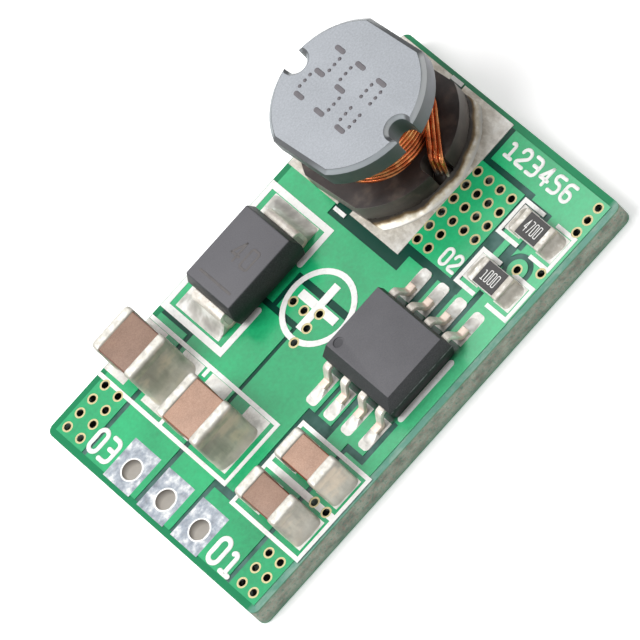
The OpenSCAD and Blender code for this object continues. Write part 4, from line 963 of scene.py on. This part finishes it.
class Growth(Graph):
    """A geometry node tree with named inputs that makes a plain mesh."""

    def __init__(self, name, **inputs):
        super().__init__(bpy.data.node_groups.new(name, "GeometryNodeTree"))
        face = self.tree.interface
        face.new_socket("Geometry", in_out="INPUT", socket_type="NodeSocketGeometry")
        self.keys = {}
        for label, kind in {**inputs, "Material": "Material"}.items():
            socket = face.new_socket(label, in_out="INPUT", socket_type="NodeSocket" + kind)
            self.keys[label] = socket.identifier
        face.new_socket("Geometry", in_out="OUTPUT", socket_type="NodeSocketGeometry")
        self.given = self.add("NodeGroupInput").outputs

    def half(self, label):
        """Half of an input."""
        return self.times(self.given[label], 0.5)

    def tube(self, curve, radius, sides):
        """A closed round tube along a curve."""
        profile = self.add("GeometryNodeCurvePrimitiveCircle", {"Resolution": sides, "Radius": radius})
        return self.add("GeometryNodeCurveToMesh", {"Curve": curve, "Profile Curve": profile.outputs[0],
                                                    "Fill Caps": True}).outputs[0]

    def copies(self, points, shape, **more):
        """Copies of a shape on points."""
        placed = self.add("GeometryNodeInstanceOnPoints", {"Points": points, "Instance": shape, **more})
        return placed.outputs[0]

    def end(self, geometry):
        """Close the tree: real geometry with its material."""
        real = self.add("GeometryNodeRealizeInstances", {"Geometry": geometry})
        smooth = self.add("GeometryNodeSetShadeSmooth", {"Geometry": real.outputs[0]})
        dressed = self.add("GeometryNodeSetMaterial", {"Geometry": smooth.outputs[0],
                                                       "Material": self.given["Material"]})
        self.add("NodeGroupOutput", {0: dressed.outputs[0]})
        return self

    def grown(self, name, base, **values):
        """A piece grown on a curve or a mesh."""
        holder = linked(name + "_base", base)
        modifier = holder.modifiers.new("growth", "NODES")
        modifier.node_group = self.tree
        for label, value in values.items():
            modifier[self.keys[label]] = value
        mesh = plain_mesh(holder)
        bpy.data.objects.remove(holder)
        for index in reversed(range(len(mesh.materials))):
            if mesh.materials[index] is None:
                mesh.materials.pop(index=index)
        mesh.name = name
        return linked(name, mesh)


def winding_tree():
    """Strands wound side by side round the post, in one layer."""
    tree = Growth("wound_strands", Radius="Float", Height="Float", Wire="Float", Strands="Int", Turns="Float",
                  Middle="Vector")
    given = tree.given
    spiral = tree.add("GeometryNodeCurveSpiral", {
        "Resolution": 72, "Rotations": given["Turns"], "Start Radius": given["Radius"],
        "End Radius": given["Radius"], "Height": given["Height"]})
    strand = tree.tube(spiral.outputs[0], tree.half("Wire"), 12)
    starts = tree.add("GeometryNodePoints", {"Count": given["Strands"], "Position": given["Middle"]})
    turn = tree.times(tree.add("GeometryNodeInputIndex").outputs[0], math.tau)
    spin = tree.add("ShaderNodeCombineXYZ", {2: tree.maths("DIVIDE", turn, given["Strands"])})
    return tree.end(tree.copies(starts.outputs[0], strand, Rotation=spin.outputs[0]))


def wire_tree():
    """Round wires along curves."""
    tree = Growth("round_wires", Wire="Float")
    even = tree.add("GeometryNodeResampleCurve", {"Curve": tree.given["Geometry"], "Count": 48})
    return tree.end(tree.tube(even.outputs[0], tree.half("Wire"), 14))


def stroke_tree():
    """Flat printed strokes with round corners and ends along curves."""
    tree = Growth("printed_strokes", Stroke="Float", Thickness="Float", Level="Float", Corner="Float")
    given, half = tree.given, tree.half("Stroke")
    corners = {"Curve": given["Geometry"], "Count": 5, "Radius": given["Corner"], "Limit Radius": True}
    turned = tree.add("GeometryNodeFilletCurve", corners, mode="POLY")
    ends = tree.add("GeometryNodeCurveEndpointSelection")
    ball = tree.add("GeometryNodeMeshIcoSphere", {"Radius": half, "Subdivisions": 2})
    both = tree.add("GeometryNodeJoinGeometry")
    for part in (tree.tube(turned.outputs[0], half, 10),
                 tree.copies(given["Geometry"], ball.outputs[0], Selection=ends.outputs[0])):
        tree.tree.links.new(part, both.inputs[0])
    real = tree.add("GeometryNodeRealizeInstances", {"Geometry": both.outputs[0]})
    thin = tree.maths("DIVIDE", given["Thickness"], given["Stroke"])
    flat = tree.add("ShaderNodeCombineXYZ", {0: 1.0, 1: 1.0, 2: thin})
    rise = tree.add("ShaderNodeCombineXYZ", {2: given["Level"]})
    laid = tree.add("GeometryNodeTransform", {"Geometry": real.outputs[0], "Scale": flat.outputs[0],
                                              "Translation": rise.outputs[0]})
    return tree.end(laid.outputs[0])


def dot_tree():
    """Round printed dots on points."""
    tree = Growth("printed_dots", Dot="Float", Thickness="Float")
    disc = tree.add("GeometryNodeMeshCylinder", {"Vertices": 12, "Radius": tree.half("Dot"),
                                                 "Depth": tree.given["Thickness"]})
    return tree.end(tree.copies(tree.given["Geometry"], disc.outputs["Mesh"]))


def new_curve(name, lines):
    """A curve of straight runs in millimetres; a run that ends where it starts is closed."""
    curve = bpy.data.curves.new(name, "CURVE")
    curve.dimensions = "3D"
    for line in lines:
        closed = tuple(line[0]) == tuple(line[-1])
        points = line[:-1] if closed else line
        spline = curve.splines.new("POLY")
        spline.points.add(len(points) - 1)
        spline.use_cyclic_u = closed
        for point, place in zip(spline.points, points):
            point.co = (*(Vector(place) * MM), 1)
    return curve


def number_lines(text, start, size, gap):
    """Strokes of a number from its lower left corner; the size is a digit's width and height."""
    lines = []
    for index, digit in enumerate(text):
        corner = Vector(start) + PRINT_ALONG * index * (size[0] + gap)
        for run in DIGITS[digit]:
            lines.append([corner + PRINT_ALONG * u * size[0] + PRINT_UP * v * size[1] / 2 for u, v in run])
    return lines


def printed(tree, name, lines, ink, slot, **sizes):
    """A piece of print made of strokes."""
    return handed_over(tree.grown(name, new_curve(name, lines), Material=ink, **sizes), slot)


def notch_place(turn):
    """The inductor's own frame, with the front notch ahead or, after half a turn, the back one."""
    return Matrix.Translation(INDUCTOR_MIDDLE) @ Matrix.Rotation(INDUCTOR_TURN + turn, 4, "Z")


class BOOST_OT_board(bpy.types.Operator):
    """Finish the laminate, mask, legend, vias, lands and terminals"""

    bl_idname = "boost.board"
    bl_label = "Board"

    def execute(self, context):
        looks = context.scene.boost_board
        dress(["circuit_board"], laminate_finish(looks))
        dress(["copper_pour_top"], mask_finish("green_mask_top", looks))
        dress(["copper_pour_bottom"], mask_finish("green_mask_bottom", looks))
        ink = legend_ink(looks)
        legend = merged(["silkscreen_legend"])
        for vertex in legend.verts:
            vertex.co.y = min(vertex.co.y, BOARD_BACK - looks.clear)
        handed_over(settled(solid(legend, "legend_printed", ink), ink), "legend", "silkscreen_legend")
        dress(["via_barrels"], ring_finish(looks))
        dress(["solder_lands"], land_tin(looks))
        dress(["output_terminal", "ground_terminal", "input_terminal"], terminal_finish(looks))
        return {"FINISHED"}


class BOOST_OT_numbers(bpy.types.Operator):
    """Print plain numbers on the board"""

    bl_idname = "boost.numbers"
    bl_label = "Board numbers"

    def execute(self, context):
        looks = context.scene.boost_board
        ink, tree = legend_ink(looks), stroke_tree()
        for name, (*number, weight) in BOARD_NUMBERS.items():
            printed(tree, name, number_lines(*number), ink, "legend", Stroke=looks.stroke * weight,
                    Corner=BOARD_CORNER * weight, **BOARD_PRINT)
        return {"FINISHED"}


class BOOST_OT_inductor(bpy.types.Operator):
    """Build the core, the winding, the wire ends and the marking of the inductor"""

    bl_idname = "boost.inductor"
    bl_label = "Inductor"

    def execute(self, context):
        looks = context.scene.boost_inductor
        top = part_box("inductor_core")[1].z
        ink_depth, near = 0.012 * MM, 0.001 * MM

        def room_for_ink(shape):
            for vertex in shape.verts:
                if vertex.co.z > top - near:
                    vertex.co.z = top - ink_depth

        softened("inductor_core", looks.rim, ferrite_finish(looks), "ferrite", room_for_ink)
        electrodes = ["inductor_electrode_front", "inductor_electrode_back"]
        dress(electrodes, land_tin(context.scene.boost_board))
        self.wind(looks)
        self.mark(looks, top - ink_depth, ink_depth)
        return {"FINISHED"}

    def wind(self, looks):
        """The winding and the strands of its two ends, which stay inside the CAD box."""
        copper = copper_finish(looks)
        low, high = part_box("inductor_winding")
        radius = (high.x - low.x) / 2 - looks.wire / 2
        height = high.z - low.z + looks.wire
        turns = height / (looks.wire * looks.strands)
        middle = ((low.x + high.x) / 2, (low.y + high.y) / 2, low.z - looks.wire / 2)
        winding = winding_tree().grown(
            "inductor_winding_wound", bpy.data.meshes.new("winding_base"), Radius=radius, Height=height,
            Wire=looks.wire, Strands=looks.strands, Turns=turns, Middle=middle, Material=copper)
        handed_over(winding, "copper_wire", "inductor_winding")
        tree = wire_tree()
        limit = CAD_BOX[1][1] - looks.wire / 2
        for end, turn in (("front", 0.0), ("back", math.pi)):
            name = "inductor_lead_" + end
            curve = bpy.data.curves.new(name, "CURVE")
            curve.dimensions = "3D"
            place = notch_place(turn)
            for number in range(STRANDS):
                path = self.strand_path(number, looks.wire, radius + looks.wire / 2)
                spline = curve.splines.new("NURBS")
                spline.points.add(len(path) - 1)
                spline.order_u, spline.use_endpoint_u, spline.resolution_u = 3, True, 8
                for point, spot in zip(spline.points, path):
                    spot = place @ spot
                    point.co = (spot.x, min(spot.y, limit), spot.z, 1)
            piece = tree.grown(name + "_strands", curve, Wire=looks.wire, Material=copper)
            handed_over(piece, "copper_wire", name)

    def strand_path(self, number, wire, winding):
        """Points of one strand in the inductor's own frame: off the winding, straight to the rim and down."""
        lie, pitch, rise = math.radians(25), math.radians(4), 0.027 * MM
        shift = (number - (STRANDS - 1) / 2) * (wire + STRAND_GAP)
        across = Vector((math.sin(lie), -math.cos(lie), 0)) * shift
        edge = Vector((0.22 * MM, -NOTCH_REACH - 0.2 * MM, FLANGE_TOP + wire / 2)) + across
        foot = Vector((-0.04 * MM, -NOTCH_REACH - 0.16 * MM, 0.35 * MM)) + across
        reach = winding + wire / 2 + STRAND_GAP
        touch = math.atan2(edge.x, -edge.y) + math.acos(reach / edge.xy.length)
        height = FLANGE_TOP + (1.2 - number / (STRANDS - 1)) * MM
        path = []
        for step in range(8, -1, -1):
            angle = touch + pitch * step
            path.append(Vector((reach * math.sin(angle), -reach * math.cos(angle), height + rise * step)))
        leave = path[-1]
        straight = [leave.lerp(edge, 0.3), leave.lerp(edge, 0.7), edge.lerp(leave, 0.06)]
        return path + straight + [edge.lerp(foot, 0.15), foot.lerp(edge, 0.5), foot]

    def mark(self, looks, level, thickness):
        """A plain number on top of the core: bars across, rows of dots up."""
        ink = ink_finish("core_marking_ink", looks.marking)
        tall, wide, left, bar_inset, dot_inset, row, filled = 2.72, 0.8, 6.4, 0.18, 0.07, 3, 0.9
        bars, dots = [], []
        for digit, start in zip(CORE_NUMBER, CORE_DIGIT_STARTS):
            levels = {"d": 0, "g": tall / 2, "a": tall}
            for key in SEGMENTS[digit]:
                if key in levels:
                    x = left + levels[key]
                    bars.append([(x, start - bar_inset, 0), (x, start - wide + bar_inset, 0)])
                else:
                    y = start - (wide - dot_inset if key in "bc" else dot_inset)
                    base = left + (tall / 2 if key in "fb" else 0)
                    dots += [((base + tall / 2 * (step + 1) / (row + 1)) * MM, y * MM, level + thickness / 2)
                             for step in range(row)]
        printed(stroke_tree(), "inductor_marking_bars", bars, ink, "ferrite", Stroke=looks.bar,
                Thickness=thickness * filled * 2, Level=level, Corner=0.0)
        points = bpy.data.meshes.new("marking_points")
        points.from_pydata(dots, [], [])
        piece = dot_tree().grown("inductor_marking_dots", points, Dot=looks.dot,
                                 Thickness=thickness * filled, Material=ink)
        handed_over(piece, "ferrite")


class BOOST_OT_diode(bpy.types.Operator):
    """Finish the diode's body and leads"""

    bl_idname = "boost.diode"
    bl_label = "Diode"

    def execute(self, context):
        looks = context.scene.boost_chips
        softened("diode_body", looks.diode_edge, epoxy(looks), "moulding")
        for node in DIODE_LEADS:
            softened(node, looks.lead_edge, lead_tin(looks), "lead_frame")
        ink = ink_finish("faint_laser_mark", Shade.LASER_MARK)
        printed(stroke_tree(), "diode_number", number_lines(*DIODE_NUMBER) + [DIODE_BAR], ink, "moulding",
                Level=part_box("diode_body")[1].z, **DIODE_PRINT)
        return {"FINISHED"}


class BOOST_OT_controller(bpy.types.Operator):
    """Finish the controller's body and leads"""

    bl_idname = "boost.controller"
    bl_label = "Controller"

    def execute(self, context):
        looks = context.scene.boost_chips
        softened("controller_body", looks.body_edge, epoxy(looks), "moulding")
        for node in sorted(name for name in NODES if name.startswith("controller_lead_")):
            softened(node, looks.lead_edge, lead_tin(looks), "lead_frame")
        return {"FINISHED"}


class BOOST_OT_capacitors(bpy.types.Operator):
    """Finish the ceramic bodies and the end caps of the capacitors"""

    bl_idname = "boost.capacitors"
    bl_label = "Capacitors"

    def execute(self, context):
        looks = context.scene.boost_chips
        ceramic, tin = ceramic_finish(looks), cap_tin(looks)
        for name in sorted(NODES):
            if "_capacitor_" in name and name.endswith("_body"):
                softened(name, looks.ceramic_edge, ceramic, "capacitor_ceramic")
            elif "_capacitor_" in name and name.endswith("_cap"):
                body = "_".join(name.split("_")[:3]) + "_body"
                flowed(name + "_finished", name, tin, "end_cap", CAPACITOR_CAP_FLOW,
                       run_on(name, body, looks.lap), hulled)
        return {"FINISHED"}


class BOOST_OT_resistors(bpy.types.Operator):
    """Finish the resistors and print their numbers"""

    bl_idname = "boost.resistors"
    bl_label = "Resistors"

    def execute(self, context):
        looks = context.scene.boost_chips
        tin, glaze, alumina = resistor_tin(looks), glaze_finish(looks), alumina_finish(looks)
        ink, tree = legend_ink(context.scene.boost_board), stroke_tree()
        for side, text in RESISTOR_NUMBERS.items():
            stem = side + "_resistor_"
            dress([stem + "substrate"], alumina)
            dress([stem + "overcoat"], glaze)
            for cap in (stem + "back_cap", stem + "front_cap"):
                flowed(cap + "_finished", cap, tin, "end_cap", RESISTOR_CAP_FLOW, hulled)
            low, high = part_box(stem + "overcoat")
            start = (low + high) / 2 / MM + RESISTOR_NUMBER_START
            lines = number_lines(text, (start.x, start.y, 0), RESISTOR_DIGIT, RESISTOR_DIGIT_GAP)
            printed(tree, stem + "number", lines, ink, "overcoat", Level=high.z, **RESISTOR_PRINT)
        return {"FINISHED"}


class BOOST_OT_solder(bpy.types.Operator):
    """Flow the solder joints and the flux round the inductor"""

    bl_idname = "boost.solder"
    bl_label = "Solder"

    def execute(self, context):
        looks, chips = context.scene.boost_solder, context.scene.boost_chips
        bright = solder_finish(looks)
        lead = [corner.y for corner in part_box("diode_anode_lead")]
        filleted("diode_solder", looks, bright, crest=lead, square=10, ragged=0.02, change=self.add_plugs)
        filleted("controller_solder", looks, bright, crest=0.35)
        filleted("capacitor_solder", looks, cap_tin(chips), climb=1.6)
        filleted("resistor_solder", looks, resistor_tin(chips))
        flux = flux_finish(looks)
        flow = (looks.grain, looks.lumps, FLUX_PASSES, FLUX_LUMP)
        flowed("inductor_solder_flowed", "inductor_solder", flux, "solder", flow, self.add_pools)
        return {"FINISHED"}

    def add_plugs(self, shape):
        """Add the solder that is drawn up between the diode's bent leads and its body."""
        sink, inset, deep, headroom = 0.1 * MM, 0.02 * MM, 0.56 * MM, 0.16 * MM
        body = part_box("diode_body")
        for node in DIODE_LEADS:
            low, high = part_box(node)
            if high.x > body[1].x:
                start, end = body[1].x - sink, high.x - sink
            else:
                start, end = low.x + sink, body[0].x + sink
            middle = Vector(((start + end) / 2, low.y + inset + deep / 2, (BOARD_TOP + high.z) / 2))
            size = Vector((end - start, deep, high.z - BOARD_TOP - headroom))
            bmesh.ops.create_cube(shape, size=1, matrix=Matrix.LocRotScale(middle, None, size))

    def add_pools(self, shape):
        """Add the flux that has run together round the wire ends in both notches, up to the board's edge."""
        clear, radius, outward, height, squash = 0.1 * MM, 0.5 * MM, 0.1 * MM, 0.12 * MM, 0.7
        for turn in (0, math.pi):
            flat = Matrix.Diagonal((1, 1, squash, 1))
            place = notch_place(turn) @ (Matrix.Translation((0, -NOTCH_REACH - outward, height)) @ flat)
            pool = bmesh.ops.create_icosphere(shape, subdivisions=3, radius=radius, matrix=place)
            for vertex in pool["verts"]:
                vertex.co.y = min(vertex.co.y, BOARD_BACK - clear)


class BOOST_OT_stage(bpy.types.Operator):
    """Set up the floor, the lights and the camera"""

    bl_idname = "boost.stage"
    bl_label = "Stage"

    def execute(self, context):
        scene, looks = context.scene, context.scene.boost_stage
        below, half_width = -0.02 * MM, 1.2
        shape = bmesh.new()
        bmesh.ops.create_grid(shape, x_segments=8, y_segments=8, size=half_width,
                              matrix=Matrix.Translation((0, 0, below)))
        floor = solid(shape, "floor", floor_finish(looks))
        scene.world = bpy.data.worlds.new("studio")
        scene.world.use_nodes = True
        surround = scene.world.node_tree.nodes["Background"].inputs
        surround["Color"].default_value, surround["Strength"].default_value = (1, 1, 1, 1), looks.sky
        for name, size, place in LAMPS:
            lamp = bpy.data.lights.new(name + "_light", "AREA")
            lamp.energy, lamp.shape, lamp.size = getattr(looks, name), "DISK", size
            light = linked(name + "_light", lamp)
            light.location = place
            light.rotation_euler = (-Vector(place)).to_track_quat("-Z", "Y").to_euler()
        view = bpy.data.cameras.new("camera")
        view.lens, view.sensor_width, view.clip_start, view.clip_end = looks.lens, 36, 0.01, 10
        scene.camera = linked("camera", view)
        scene.camera.location = looks.camera_place
        scene.camera.rotation_euler = Euler(looks.camera_turn, "XYZ")
        scene.view_settings.view_transform = "Standard"
        return {"FINISHED"}


class BOOST_PT_module(bpy.types.Panel):
    """Lists the steps and their settings"""

    bl_label = "Boost converter module"
    bl_idname = "BOOST_PT_module"
    bl_space_type = "VIEW_3D"
    bl_region_type = "UI"
    bl_category = "Module"

    def draw(self, context):
        for operator in OPERATORS:
            self.layout.operator(operator.bl_idname)
        for name in SETTINGS:
            box = self.layout.box()
            group = getattr(context.scene, name)
            for key in group.bl_rna.properties.keys():
                if key not in ("rna_type", "name"):
                    box.prop(group, key)


SETTINGS = {"boost_board": BoardLooks, "boost_inductor": InductorLooks, "boost_chips": ChipLooks,
            "boost_solder": SolderLooks, "boost_stage": StageLooks}
OPERATORS = (BOOST_OT_board, BOOST_OT_numbers, BOOST_OT_inductor, BOOST_OT_diode, BOOST_OT_controller,
             BOOST_OT_capacitors, BOOST_OT_resistors, BOOST_OT_solder, BOOST_OT_stage)


def register():
    """Add the settings, the steps and the panel."""
    for group in (*SETTINGS.values(), *OPERATORS, BOOST_PT_module):
        bpy.utils.register_class(group)
    for name, group in SETTINGS.items():
        setattr(bpy.types.Scene, name, PointerProperty(type=group))


def unregister():
    """Take them out again."""
    for name in SETTINGS:
        delattr(bpy.types.Scene, name)
    for group in (BOOST_PT_module, *OPERATORS, *SETTINGS.values()):
        bpy.utils.unregister_class(group)


def main():
    """Run every step in order."""
    register()
    bpy.ops.boost.board()
    bpy.ops.boost.numbers()
    bpy.ops.boost.inductor()
    bpy.ops.boost.diode()
    bpy.ops.boost.controller()
    bpy.ops.boost.capacitors()
    bpy.ops.boost.resistors()
    bpy.ops.boost.solder()
    bpy.ops.boost.stage()


if __name__ == "__main__":
    main()
